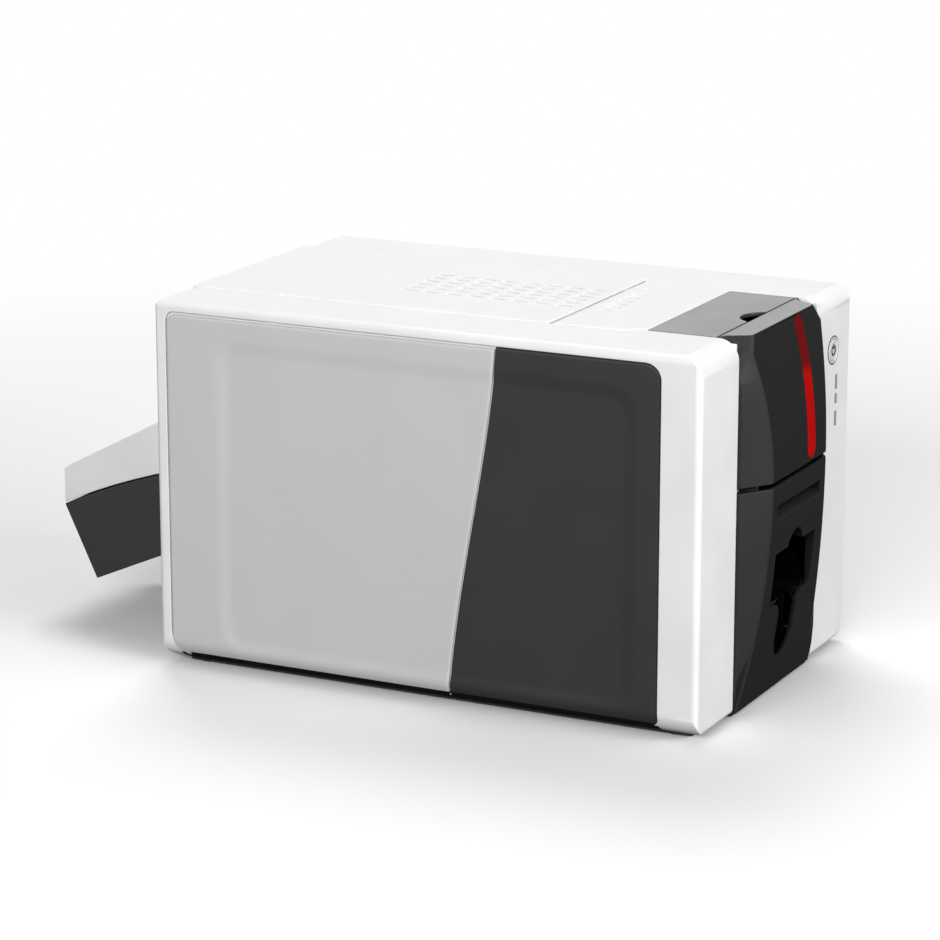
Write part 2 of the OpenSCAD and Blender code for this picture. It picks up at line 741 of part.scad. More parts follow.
module front_transport_roller() {
    color(black) place() driven_roller(front_roller, roller_r, sleeve_x, belt_x, pulley_r);
}
module platen_roller() {
    color(black) place() driven_roller(platen, roller_r, sleeve_x + 3, belt_x, pulley_r);
}
module middle_transport_roller() {
    color(black) place() driven_roller(middle_roller, roller_r, sleeve_x, belt_x, pulley_r);
}
module rear_transport_roller() {
    color(black) place() {
        driven_roller(rear_roller, roller_r, sleeve_x, belt_x, pulley_r);
        pulley(rear_belt_x, rear_roller, small_pulley_r);
        rod(belt_x, rear_belt_x + pulley_w + 1.5, rear_roller, shaft_r);
    }
}
module entry_roller() {
    color(black) place() driven_roller(entry_place, roller_r, sleeve_x, rear_belt_x, small_pulley_r);
}
pick_half = 12;
pick_pulley_r = small_pulley_r * 4 / 3;
module pick_roller() {
    color(black) place() driven_roller(pick_place, pick_r, pick_half, rear_belt_x, pick_pulley_r);
}

// Idle roller on a thin shaft with two short sleeves.
module idle_roller(at, r, spans) {
    rod(-plate_out - 1, plate_out + 1, at, pinch_shaft_r);
    for (s = spans) rod(s[0], s[1], at, r);
}
pinch_spans = [[-22, -8], [8, 22]];
module front_pinch_roller() { color(black) place() idle_roller(front_pinch, pinch_small, pinch_spans); }
module rear_pinch_roller() { color(black) place() idle_roller(rear_pinch, pinch_large, pinch_spans); }
module entry_pinch_roller() { color(black) place() idle_roller(entry_pinch, pinch_large, pinch_spans); }
module cleaning_roller() {
    color([0.16, 0.32, 0.55]) place() idle_roller(cleaning_place, cleaning_r, [[-sleeve_x, sleeve_x]]);
}

module shaft_bushes() {
    color([0.72, 0.55, 0.28]) place() for (p = driven_places) both_sides() difference() {
        union() {
            rod(plate_x, plate_out + eps, p, bush_r);
            rod(plate_out, plate_out + bush_flange_t, p, bush_flange_r);
        }
        rod(plate_x - 1, plate_out + bush_flange_t + 1, p, shaft_r + shaft_fit);
    }
}

// ---- frame ----

takeup_place = [8.5, 127];
supply_place = [88, 140];
journal_r = 3;
journal_fit = 0.1;
hinge_z = body_h + cover_rise - hinge_roll_r;
hinge_place = [hinge_y, hinge_z];
ear_r = hinge_roll_r - 1;
rod_r = 2.5;
rod_places = [[15, 86.5], [150, 70], [body_l - 110, 40], [body_l - 48, 34], [130, 122]];
motor_place = [120, 40];
motor_pulley_r = 6;
keeper_place = [15.5, 150];
keeper_r = 2;

// Outline of a frame plate with its open slots for the two ribbon spools.
module plate_outline() {
    difference() {
        union() {
            polygon([[12, tray_top], [12, 84], [-4, 88], [-4, 140], [8, 140], [10, 156], [24, 156], [44,
                128],
                [76, 128], [80, 156], [92, 158], [hinge_y - ear_r, 166], [hinge_y - ear_r, hinge_z],
                [hinge_y + ear_r, hinge_z], [hinge_y + ear_r, 166], [104, 156], [130, 130], [165, 120],
                entry_pinch + [-2, 11.5], entry_pinch + [28, -2.5], [panel_y0 - 1, feeder_z + 14],
                [panel_y0 - 1, tray_top]]);
            translate(hinge_place) circle(ear_r);
        }
        for (p = [takeup_place, supply_place]) translate(p) {
            circle(journal_r + journal_fit);
            translate([-journal_r - journal_fit, 0]) square([2 * (journal_r + journal_fit), 60]);
        }
        for (p = driven_places) translate(p) circle(bush_r);
        for (p = concat(pinch_places, [cleaning_place])) translate(p) circle(pinch_shaft_r + shaft_fit);
        for (p = rod_places) translate(p) circle(rod_r);
        translate(hinge_place) circle(pin_r);
        translate(motor_place) circle(shaft_r + 1);
        // windows that lighten the plate
        rounded_box([24, 14], [88, 76], [4, 4, 4, 4]);
        rounded_box([158, 52], [192, 82], [4, 4, 4, 4]);
        rounded_box([body_l - 98, 20], [body_l - 60, 66], [4, 4, 4, 4]);
    }
}

module frame_plates() {
    color(steel) place() both_sides() {
        side_slab(plate_x, plate_out) plate_outline();
        block([plate_out - eps, 14, tray_top], [plate_out + 10, 60, tray_top + plate_t]);
        block([plate_out - eps, 230, tray_top], [plate_out + 10, 290, tray_top + plate_t]);
        // stud that the lid's latch catches on
        rod(plate_out - eps, plate_out + 5.5, keeper_place, keeper_r);
    }
}

module frame_tie_rods() {
    color(steel) place() for (p = rod_places) {
        rod(-plate_out - 1.5, plate_out + 1.5, p, rod_r);
    }
}

pin_in = 3;                          // how far a lid pin reaches to each side of its ear
module hinge_pins() {
    color(steel) place() both_sides() {
        rod(plate_x - pin_in, plate_out + pin_in + 1, hinge_place, pin_r);
        rod(cover_ear_x - 0.2, feeder_w / 2 - 0.2, cover_hinge, pin_r);
    }
}

// ---- guides ----

guide_t = 1.6;
guide_gap = 0.6;
guide_steps = 5;
// Upper or lower edge of a guide: level run, bend and slope.
function guide_line(y0, s1, n) = concat([[y0, path_z + n]],
    [for (i = [0:guide_steps]) bend_point(tilt * i / guide_steps, n)], [slope_point(s1, n)]);
function reversed(list) = [for (i = [len(list) - 1:-1:0]) list[i]];
guide_end = 52;

module guide_outline(y0, s1, n0, n1) {
    polygon(concat(guide_line(y0, s1, n0), reversed(guide_line(y0, s1, n1))));
}

// Window through a guide at a roller.
module guide_window(at, half_l, half_w) {
    translate([0, at[0], at[1]]) block([-half_w, -half_l, -8], [half_w, half_l, 8]);
}

module lower_card_guide() {
    color(black) place() difference() {
        union() {
            side_slab(-plate_x, plate_x) guide_outline(-4, guide_end, -guide_gap - guide_t, -guide_gap);
            // rails beside the card's edges
            both_sides() side_slab(card_w / 2 + 0.6, card_w / 2 + 3) guide_outline(30, guide_end,
                -guide_gap - eps, 0.4);
        }
        for (p = [front_roller, middle_roller, rear_roller]) guide_window(p, 5.4, sleeve_x + 0.8);
        guide_window(platen, 5.4, sleeve_x + 3.8);
        translate([0, entry_place[0], entry_place[1]]) rotate([-tilt, 0, 0])
            block([-sleeve_x - 0.8, -5.4, 0], [sleeve_x + 0.8, 5.4, 12]);
    }
}

upper_y0 = middle_roller_y + 14;
module upper_card_guide() {
    color(black) place() difference() {
        union() {
            side_slab(-plate_x, plate_x) guide_outline(upper_y0, guide_end, guide_gap, guide_gap + guide_t);
            both_sides() side_slab(12, 14) guide_outline(upper_y0 + 4, guide_end, guide_gap, 6);
        }
        for (s = pinch_spans) {
            translate([0, rear_pinch[0], rear_pinch[1]]) block([s[0] - 0.8, -5, -8], [s[1] + 0.8, 5, 8]);
            translate([0, entry_pinch[0], entry_pinch[1]]) rotate([-tilt, 0, 0])
                block([s[0] - 0.8, -5, -8], [s[1] + 0.8, 5, 8]);
        }
        rod(-plate_x - 1, plate_x + 1, rear_pinch, pinch_shaft_r + 0.5);
        rod(-plate_x - 1, plate_x + 1, entry_pinch, pinch_shaft_r + 0.5);
    }
}

// ---- drive ----

motor_l = 30;
motor_half = 17.5;
module drive_motor() {
    color([0.2, 0.2, 0.22]) place() difference() {
        union() {
            side_slab(plate_x - motor_l, plate_x) translate(motor_place)
                rounded_box([-motor_half, -motor_half], [motor_half, motor_half], [4, 4, 4, 4]);
            rod(plate_x - motor_l - 1.5, plate_x - motor_l + eps, motor_place, 9);
        }
        rod(plate_x - motor_l + 4, plate_x + 1, motor_place, shaft_r + shaft_fit);
    }
}

module motor_pulley() {
    color(steel) place() {
        rod(plate_x - motor_l + 5, belt_x + pulley_w + flange_t + 0.5, motor_place, shaft_r);
        pulley(belt_x, motor_place, motor_pulley_r);
    }
}

// Closed flat belt round its pulleys, given as [place, radius] pairs.
module belt(x, wheels) {
    side_slab(x + belt_gap, x + belt_gap + belt_w) difference() {
        hull() for (w = wheels) translate(w[0]) circle(w[1] + belt_fit + belt_t, $fn = 32);
        hull() for (w = wheels) translate(w[0]) circle(w[1] + belt_fit, $fn = 32);
    }
}

module drive_belts() {
    color(black) place() {
        belt(belt_x, [[front_roller, pulley_r], [rear_roller, pulley_r], [motor_place, motor_pulley_r]]);
        belt(rear_belt_x, [[rear_roller, small_pulley_r], [entry_place, small_pulley_r],
            [pick_place, pick_pulley_r]]);
    }
}

// ---- ribbon ----

gear_m = 1;
gear_w = 3.5;
gear_x = plate_out + 1.8;
tooth_add = 0.8;
tooth_ded = 1.1;
tooth_play = 0.16;
pressure = 20;
mesh_angle = -70;                    // from the take-up gear to the pinion
gear_distance = gear_m * (takeup_teeth + pinion_teeth) / 2;
pinion_place = takeup_place + gear_distance * [cos(mesh_angle), sin(mesh_angle)];

// Involute function in degrees for the angle whose tangent is t.
function involute(t) = t * 180 / PI - atan(t);
// Half the angle that a tooth fills at radius r.
function tooth_half(r, rp) = let (rb = rp * cos(pressure), t = sqrt(max(0, pow(r / rb, 2) - 1)))
    (PI * gear_m / 4 - tooth_play / 2) / rp * 180 / PI + involute(tan(pressure)) - involute(t);
function polar(r, a) = r * [cos(a), sin(a)];
// One tooth of a spur gear about the angle a, as points on its outline.
function tooth_points(rp, a) = let (rr = rp - tooth_ded * gear_m, rt = rp + tooth_add * gear_m,
        rs = [rr, max(rr + 0.2, rp * cos(pressure)), rp - 0.1, rp + 0.4 * gear_m, rt])
    concat([for (r = rs) polar(r, a - tooth_half(max(r, rp * cos(pressure)), rp))],
        [for (i = [len(rs) - 1:-1:0]) polar(rs[i], a + tooth_half(max(rs[i], rp * cos(pressure)), rp))]);
module gear_outline(teeth, first) {
    polygon([for (k = [0:teeth - 1]) each tooth_points(gear_m * teeth / 2, first + k * 360 / teeth)]);
}

spool_flange_x = ribbon_w / 2 + 2;
spool_flange_t = 1.5;

// Spool with its film, flanges and journals.
module spool(at, film_r, flange_r, left_end) {
    rod(-left_end, plate_out + 2.5, at, journal_r);
    rod(-ribbon_w / 2, ribbon_w / 2, at, film_r);
    both_sides() rod(spool_flange_x, spool_flange_x + spool_flange_t, at, flange_r);
    rod(-spool_flange_x - 1, spool_flange_x + 1, at, 5);
}

module ribbon_supply_spool() {
    color([0.35, 0.3, 0.1]) place() spool(supply_place, supply_r, supply_r + 2, plate_out + 2.5);
}

module ribbon_takeup_spool() {
    color([0.2, 0.2, 0.25]) place() {
        spool(takeup_place, takeup_r, takeup_r + 2, gear_x + gear_w + 1);
        side_slab(-gear_x - gear_w, -gear_x) translate(takeup_place)
            gear_outline(takeup_teeth, mesh_angle);
    }
}

ribbon_motor_r = 8;
ribbon_motor_l = 18;
ribbon_shaft_r = 1.5;
bracket_x = gear_x + gear_w + 1.6;
module ribbon_pinion() {
    color(steel) place() {
        rod(-bracket_x - 8, -gear_x + 0.6, pinion_place, ribbon_shaft_r);
        side_slab(-gear_x - gear_w, -gear_x) translate(pinion_place)
            gear_outline(pinion_teeth, mesh_angle + 180 + 180 / pinion_teeth);
    }
}

bracket_arms = [[5, -8], [-8.5, -6]];
module ribbon_motor() {
    color(steel) place() difference() {
        union() {
            rod(-bracket_x - 1.5 - ribbon_motor_l, -bracket_x - 1.5 + eps, pinion_place, ribbon_motor_r);
            side_slab(-bracket_x - 1.5, -bracket_x) translate(pinion_place)
                rounded_box([-11, -10], [9, 4.5], [2, 2, 2, 2]);
            for (a = bracket_arms) rod(-bracket_x - eps, -plate_out, pinion_place + a, 1.7);
        }
        rod(-bracket_x - 9, -bracket_x + 1, pinion_place, ribbon_shaft_r + shaft_fit);
    }
}

head_bottom = path_z + nip + 0.9;    // underside of the print head at rest
head_y0 = platen_y - 8;
head_y1 = platen_y + 8;
film_z = head_bottom - 0.35;
film_play = 0.3;

// Angle from a point to where a straight film touches a roll on its lower side.
// turn is -1 for a roll in front of the point and 1 for a roll behind it.
function film_angle(from, at, r, turn) = atan2(at[1] - from[1], at[0] - from[0])
    - turn * asin(r / norm(at - from));
function film_touch(from, at, r, turn) = from + sqrt(pow(norm(at - from), 2) - r * r)
    * [cos(film_angle(from, at, r, turn)), sin(film_angle(from, at, r, turn))];
film_a = [head_y0 - 0.4, film_z];
film_b = [head_y1 + 0.4, film_z];
film_front = film_touch(film_a, takeup_place, takeup_r + film_play, -1);
film_rear = film_touch(film_b, supply_place, supply_r + film_play, 1);
film_up = [0, film_t];

module ribbon_film() {
    color([0.75, 0.62, 0.1]) place() side_slab(-ribbon_w / 2, ribbon_w / 2)
        polygon([film_front - film_up, film_a - film_up, film_b - film_up, film_rear - film_up,
            film_rear, film_b, film_a, film_front]);
}

// ---- lid ----

top_under = body_h - lid_wall;
panel_side = side_x - 0.1;
skirt_t = 2.1;

module lid_top_panel() {
    color(dark) place() difference() {
        union() {
            block([-panel_side, crease_y + 0.2, top_under], [panel_side, tone_y - 0.1, body_h]);
            both_sides() block([panel_side - skirt_t, crease_y + 0.2, body_h - 25], [panel_side,
                tone_y - 0.1, top_under + eps]);
        }
        // finger well: a shallow arc behind the crease
        well_r = (well_w * well_w / 4 + well_d * well_d) / (2 * well_d);
        translate([0, crease_y + well_d - well_r, top_under - 1]) cylinder(r = well_r, h = 10);
    }
}

lid_vent_y0 = hinge_y - 14;
lid_vent_l = 9;
module lid_rear_cover() {
    color(white) place() difference() {
        union() {
            intersection() {
                side_slab(-half_rear, half_rear) {
                    translate([tone_y + 0.1, top_under]) square([hinge_y - tone_y, cover_top - top_under]);
                    translate(hinge_place) circle(hinge_roll_r);
                }
                flat_slab(hinge_z - 10, cover_top + 1) difference() {
                    bay_plan(-0.6);
                    translate([-half_w, hinge_y + 20]) square([body_w, body_l]);
                }
            }
            both_sides() block([half_rear - 0.6 - skirt_t, jog_y1 + 1, body_h - 9],
                [half_rear - 0.6, hinge_y - 6, top_under + eps]);
        }
        both_sides() {
            // slot round the frame's ear, and the bores on each side of it
            block([plate_x - 0.3, hinge_y - 5.5, hinge_z - 10], [plate_out + 0.3, hinge_y + 10,
                cover_top + 1]);
            rod(plate_x - pin_in - 0.5, plate_out + pin_in + 1.5, hinge_place, pin_r + shaft_fit);
        }
        for (i = [0:vent_cols - 1]) flat_slab(top_under - 1, cover_top + 1)
            slot_plan([(i - (vent_cols - 1) / 2) * vent_pitch, lid_vent_y0], [3.2, lid_vent_l]);
    }
}

latch_place = [8, body_h - 19];
latch_r = 2;
latch_ear_x = plate_x;
latch_ear_t = 3;
rib_x = 31.7;
rib_t = 2.5;
rib_y0 = platen_y - 11;
rib_y1 = platen_y + 6;
frame_z = top_under - 2.5;
beam_z = head_bottom + 45;
beam_t = 3;
guide_pin_r = 1.5;
guide_pin_place = [platen_y - 1, head_bottom + 18];
head_travel = 1.2;

module lid_inner_frame() {
    color(black) place() difference() {
        union() {
            block([-50, crease_y + 0.9, frame_z], [50, hinge_y - 6.5, top_under]);
            both_sides() {
                // side tabs that hold the front cover
                block([49, crease_y - 1.4, body_h - 42], [side_x - lid_wall - 0.1, crease_y + 4,
                    top_under - 0.2]);
                // ears for the latch
                side_slab(latch_ear_x, latch_ear_x + latch_ear_t) {
                    translate([latch_place[0], latch_place[1] - 4.2]) square([14,
                        frame_z - latch_place[1] + 4.7]);
                    translate(latch_place) circle(4.2);
                    translate(latch_place - [4.2, 0]) square([8, frame_z - latch_place[1] + 0.5]);
                }
                block([latch_ear_x, latch_place[0] - 4.2, frame_z], [latch_ear_x + latch_ear_t,
                    crease_y + 4, top_under - 0.6]);
                // ribs that guide the print head
                block([rib_x, rib_y0, head_bottom + 8], [rib_x + rib_t, rib_y1, frame_z + eps]);
            }
            // beam above the head springs
            block([-rib_x - eps, rib_y0 + 3, beam_z], [rib_x + eps, rib_y1, beam_z + beam_t]);
            // stiffening web above the beam
            block([-rib_x - eps, platen_y - 2, beam_z + beam_t - eps], [rib_x + eps, platen_y,
                frame_z + eps]);
            // front and rear stiffening ribs
            block([-48, 26, frame_z - 5], [48, 28, frame_z + eps]);
        }
        block([-well_w / 2 - 1, crease_y - 1, frame_z - 1], [well_w / 2 + 1, crease_y + well_d + 2,
            top_under + 1]);
        both_sides() {
            rod(latch_ear_x - 1, latch_ear_x + latch_ear_t + 1, latch_place, latch_r + shaft_fit);
            // upright slot for the head's guide pin
            block([rib_x - 1, guide_pin_place[0] - guide_pin_r - 0.1,
                guide_pin_place[1] - guide_pin_r - 0.1],
                [rib_x + rib_t + 1, guide_pin_place[0] + guide_pin_r + 0.1,
                    guide_pin_place[1] + guide_pin_r + head_travel + 0.2]);
        }
    }
}

hook_x = latch_ear_x + latch_ear_t + 0.5;
hook_t = 3;
paddle_z = body_h - 11;
module lid_latch() {
    color(black) place() {
        rod(-hook_x - hook_t, hook_x + hook_t, latch_place, latch_r);
        // hooks that end just in front of the keeper studs
        both_sides() side_slab(hook_x, hook_x + hook_t) {
            translate(latch_place) circle(4);
            polygon([latch_place + [-4, 0], [latch_place[0] - 4, keeper_place[1] - 6.5],
                [keeper_place[0] - keeper_r - 0.4, keeper_place[1] - 6.5],
                [keeper_place[0] - keeper_r - 0.4, keeper_place[1] - 3.2],
                [latch_place[0] + 0.5, keeper_place[1] - 1.5], latch_place + [2, 0]]);
        }
        // finger paddle under the well
        both_sides() side_slab(8.5, 11) {
            polygon([latch_place + [-2.5, -2.5], latch_place + [2.5, -2.5], [crease_y + well_d,
                paddle_z], [crease_y, paddle_z + 1]]);
            translate(latch_place) circle(3.5);
        }
        block([-11, crease_y + 0.2, paddle_z], [11, crease_y + well_d, paddle_z + 2]);
        block([-11, crease_y + 0.2, paddle_z], [11, crease_y + 1.6, paddle_z + 4]);
    }
}

head_half = ribbon_w / 2 + 1.5;
head_t = 2.6;
sink_top = head_bottom + 28;
spring_x = 18;
spring_r = 3.5;
spring_y = platen_y - 1;
sink_y1 = rib_y1 - 0.4;

module print_head() {
    color([0.85, 0.83, 0.78]) place() {
        block([-head_half, head_y0, head_bottom + 0.4], [head_half, head_y1, head_bottom + head_t]);
        // heating line that stands a little proud
        side_slab(-ribbon_w / 2, ribbon_w / 2) polygon([[platen_y - 2, head_bottom + 0.5],
            [platen_y - 0.7, head_bottom],
            [platen_y + 0.7, head_bottom], [platen_y + 2, head_bottom + 0.5]]);
        // connector along the front edge
        block([-20, head_y0 + 0.2, head_bottom + head_t - eps], [20, head_y0 + 3.4,
            head_bottom + head_t + 4]);
    }
}

module head_heatsink() {
    color([0.75, 0.76, 0.78]) place() difference() {
        union() {
            block([-head_half + 1, head_y0 + 4, head_bottom + head_t], [head_half - 1, sink_y1, sink_top]);
            both_sides() rod(head_half - 1 - eps, rib_x + rib_t + 0.5, guide_pin_place, guide_pin_r);
        }
        // grooves between the fins, at the rear
        for (i = [0:4]) block([-head_half, sink_y1 - 3.5, head_bottom + 7 + i * 4], [head_half,
            sink_y1 + 1, head_bottom + 9 + i * 4]);
        // blind bores for the springs
        both_sides() translate([spring_x, spring_y, sink_top - 9]) cylinder(r = spring_r + 0.3, h = 10);
    }
}

module head_springs() {
    color(steel) place() both_sides() translate([spring_x, spring_y,
        sink_top - 9 + head_travel + 0.15]) difference() {
        cylinder(r = spring_r, h = beam_z - sink_top + 9 - head_travel - 0.15);
        translate([0, 0, -1]) cylinder(r = spring_r - 0.8, h = 60);
    }
}

// ---- electronics ----

board_t = 1.6;
module main_board() {
    color([0.1, 0.35, 0.2]) place() {
        block([main_board_box[0][0], main_board_box[0][1], board_z], [main_board_box[1][0],
            main_board_box[1][1], board_z + board_t]);
        // processor, memory, driver chips, capacitors and plugs
        translate([0, main_board_box[0][1], board_z + board_t - eps]) {
            block([-14, 62, 0], [2, 78, 1.6]);
            block([8, 64, 0], [18, 72, 1.2]);
            for (x = [-24, -12, 0, 12]) block([x, 18, 0], [x + 8, 26, 1.4]);
            for (x = [-26, -16, 22]) translate([x, 100, 0]) cylinder(r = 4, h = 10);
            for (y = [38, 50]) block([24, y, 0], [30, y + 9, 6]);
        }
    }
}

control_board_y = 12;
board_x0 = half_bay + wall + 6.2;
board_posts = [[board_x0 + 3.5, button_z + 9], [half_w - 9.5, lens_places[2][0] - 8]];
module control_board() {
    color([0.1, 0.35, 0.2]) place() {
        block([board_x0, control_board_y, lens_places[2][0] - 13],
            [half_w - 7, control_board_y + board_t, button_z + 14]);
        // push switch and light sources, on the side that faces the front
        block([button_x - 3, control_board_y - 3.2, button_z - 3], [button_x + 3, control_board_y + eps,
            button_z + 3]);
        for (p = lens_places) block([lens_x - 1.2, control_board_y - 2, p[0] - 1.2],
            [lens_x + 1.2, control_board_y + eps, p[0] + 1.2]);
    }
}

module status_lenses() {
    color([0.55, 0.6, 0.62]) place() for (p = lens_places) {
        block([lens_x - lens_w / 2, -0.1, p[0] - p[1] / 2], [lens_x + lens_w / 2, control_board_y - 2,
            p[0] + p[1] / 2]);
    }
}

press = 0.8;
module control_button() {
    color(pale) place() translate([button_x, -0.5, button_z]) rotate([-90, 0, 0]) {
        cylinder(r = button_r, h = 4.6);
        // retaining flange behind the wall and stem to the switch
        translate([0, 0, 3.1]) cylinder(r = button_r + 1.4, h = 1.5);
        cylinder(r = 1.6, h = control_board_y - 3.2 - press - 0.1 + 0.5);
    }
}

module power_inlet() {
    color(black) place() translate([port_places[0], 0, port_z]) difference() {
        block([-7, panel_y0 - 12, -6], [7, body_l + 0.4, 6]);
        translate([0, body_l + 1, 0]) rotate([90, 0, 0]) difference() {
            cylinder(r = 4.6, h = 11);
            translate([0, 0, -1]) cylinder(r = 1.2, h = 13);
        }
    }
}

rocker_place = [body_l - 1.2, port_z];
module power_switch_frame() {
    color(black) place() translate([port_places[1], 0, port_z]) difference() {
        block([-7, panel_y0 - 11, -6], [7, body_l + 0.8, 6]);
        block([-5, panel_y0 - 8.5, -4.4], [5, body_l + 2, 4.4]);
        rod(-6.2, 6.2, [rocker_place[0], 0], 1.05);
    }
}

module power_switch_rocker() {
    color([0.3, 0.3, 0.3]) place() translate([port_places[1], 0, 0]) {
        rod(-5.9, 5.9, rocker_place, 1);
        side_slab(-4.7, 4.7) translate(rocker_place) polygon([[-3.2, -2.6], [1.4, -3.9], [1.1, 0.4],
            [2.4, 3.9], [-3.2, 2.6]]);
    }
}

module data_ports() {
    color(steel) place() {
        translate([port_places[2], 0, port_z]) difference() {
            block([-6, panel_y0 - 14, -5.5], [6, body_l + 0.3, 5.5]);
            block([-4.4, panel_y0 - 8, -4], [4.4, body_l + 1, 4]);
        }
        translate([port_places[2], 0, port_z]) block([-2.8, panel_y0 - 9, -1.6], [2.8, body_l - 1.2, 1.6]);
        translate([port_places[3], 0, port_z]) difference() {
            block([-8, panel_y0 - 14, -6.7], [8, body_l + 0.3, 6.7]);
            block([-6, panel_y0 - 10, -3.8], [6, body_l + 1, 4]);
            block([-2, panel_y0 - 10, 3], [2, body_l + 1, 5.6]);
        }
    }
}

// ---- rear feeder ----

// Moves a piece from the feeder's own frame: x, down the slope, square to the slope.
module feeder_frame() { translate([0, body_l, feeder_z]) rotate([-feeder_tilt, 0, 0]) children(); }

feeder_half = feeder_w / 2;
feeder_wall = 2.4;
bay_half = card_w / 2 + 0.6;
bay_front_u = pick_u - 5;
bay_rear_u = bay_front_u + card_l + 1.6;
lean = 1.7;
cover_gap = 0.8;
edge_steps = 8;
// Height of the joint between feeder body and cover, a shallow arc that is level at the rear.
function joint_n(u) = feeder_d - 10 * pow(max(0, feeder_l - 9 - u) / 96, 2);
edge_u0 = -24;
joint_edge = [for (i = [0:edge_steps]) let (u = edge_u0 + (feeder_l - 9 - edge_u0) * i / edge_steps) [u,
    joint_n(u)]];

// Everything in front of the rear panel's outer face.
module inside_printer(clear) { block([-60, body_l - 120, -40], [60, body_l + clear, 250]); }

module feeder_shell(x0, x1, drop) {
    side_slab(x0, x1) polygon(concat([[-30, 0], [feeder_l, 0], [feeder_l + lean, feeder_d - drop]],
        [for (i = [edge_steps:-1:0]) joint_edge[i] - [0, drop]], [[-30, joint_edge[0][1] - drop]]));
}

cover_hinge = [body_l + 8, feeder_z + 68];
cover_ear_x = feeder_half - 4.9;
cover_ear_t = 2.6;

module feeder_body() {
    color(dark) place() difference() {
        union() {
            difference() {
                feeder_frame() feeder_shell(-feeder_half, feeder_half, 0);
                inside_printer(0);
                feeder_frame() block([-bay_half, -60, floor_n], [bay_half, bay_rear_u, 80]);
                // space behind the card bay
                feeder_frame() block([-bay_half, bay_rear_u + 2, floor_n], [bay_half,
                    feeder_l - feeder_wall, 80]);
                // hollow flanks beside the card bay
                feeder_frame() both_sides() block([bay_half + 1.8, -60, feeder_wall],
                    [feeder_half - feeder_wall, feeder_l - feeder_wall, 80]);
            }
            // floor, walls and front stop that reach into the printer
            feeder_frame() {
                block([-bay_half - 1.8, bay_front_u - 4.4, 0.9], [bay_half + 1.8, 8, floor_n]);
                both_sides() block([bay_half, bay_front_u - 4.4, 0.9], [bay_half + 1.8, 8, 30]);
                block([-bay_half - eps, bay_front_u - 4.4, floor_n + 2], [bay_half + eps,
                    bay_front_u - 2, 30]);
            }
            // ears that carry the cover's pins
            both_sides() side_slab(cover_ear_x, cover_ear_x + cover_ear_t) {
                translate(cover_hinge) circle(4);
                polygon([cover_hinge + [-4, 0], cover_hinge + [4, 0], feeder_point(16, 12),
                    feeder_point(4, 12)]);
            }
        }
        both_sides() rod(cover_ear_x - 1, cover_ear_x + cover_ear_t + 1, cover_hinge, pin_r);
        // window for the pick roller
        feeder_frame() block([-pick_half - 0.8, pick_u - 7, -1], [pick_half + 0.8, pick_u + 7,
            floor_n + 1]);
        // stack edge gap above the floor at the front stop
        feeder_frame() block([-bay_half, bay_front_u - 10, floor_n], [bay_half, bay_front_u, floor_n + 2]);
    }
}

nose_r = 6.4;
cover_wall = 2;
// Outline of the cover from the side, drawn in by t: the roll, the top line and the rear end.
top_rear = feeder_point(feeder_l - 11.5, feeder_d + 19.4);
rear_low = feeder_point(feeder_l + 1.1, feeder_d + cover_gap);
rear_high = [rear_low[0], top_rear[1] - 2.7];
top_dir = (top_rear - cover_hinge) / norm(top_rear - cover_hinge);
// Angle of the line from the cover's rear top corner that just touches the roll.
nose_angle = atan2(top_rear[1] - cover_hinge[1], top_rear[0] - cover_hinge[0]);
nose_open = acos(nose_r / norm(top_rear - cover_hinge));
nose_touch = cover_hinge + polar(nose_r, nose_angle + nose_open);
cover_front = body_l + 1.6;

module cover_outline(t) {
    r = nose_r - t;
    touch = cover_hinge + polar(r, nose_angle + nose_open);
    union() {
        translate(cover_hinge) circle(r);
        polygon([cover_hinge + [-r, 0], [cover_front + t, cover_hinge[1] - 4], [cover_front + t, feeder_z],
            rear_low - [t, 60], rear_low - [t, 0], rear_high - [t, t], top_rear - [t * 0.6, t], touch]);
    }
}

module feeder_cover() {
    color(white) place() difference() {
        side_slab(-feeder_half, feeder_half) cover_outline(0);
        side_slab(-feeder_half + cover_wall, feeder_half - cover_wall) cover_outline(cover_wall);
        // everything below the joint with the body
        feeder_frame() side_slab(-60, 60) polygon(concat([[-60, -60], [feeder_l + 40, -60],
            [feeder_l + 40, feeder_d + cover_gap]],
            [for (i = [edge_steps:-1:0]) joint_edge[i] + [0, cover_gap]], [[-60,
                joint_edge[0][1] + cover_gap]]));
        // bores for the pins, and slots that pass over the ears as the cover swings up
        both_sides() {
            rod(feeder_half - cover_wall - 1, feeder_half + 1, cover_hinge, pin_r + shaft_fit);
            block([cover_ear_x - 0.4, cover_front - 1, feeder_z], [feeder_half - cover_wall + eps,
                cover_front + cover_wall + 1, cover_hinge[1] + nose_r * 0.6]);
        }
    }
}

pusher_travel = 28;
module card_pusher() {
    color(black) place() feeder_frame() {
        block([-bay_half + 0.4, 4, floor_n + 0.3], [bay_half - 0.4, bay_rear_u - 2, floor_n + 2.8]);
        for (x = [-18, 0, 18]) block([x - 1, 8, floor_n + 2.8 - eps], [x + 1, bay_rear_u - 6, floor_n + 7]);
        block([-9, 30, floor_n + 2.8 - eps], [9, 33, floor_n + 16]);
        block([-9, 27, floor_n + 14], [9, 36, floor_n + 16]);
    }
}

gauge_travel = 1;
module thickness_gauge() {
    color([0.75, 0.35, 0.1]) place() feeder_frame() {
        block([-7, bay_front_u - 1.6, floor_n + 0.3], [7, bay_front_u - 0.4, 34]);
        block([-7, bay_front_u - 4.4, 32], [7, bay_front_u - 0.4, 34]);
    }
}

// ---- what is drawn ----

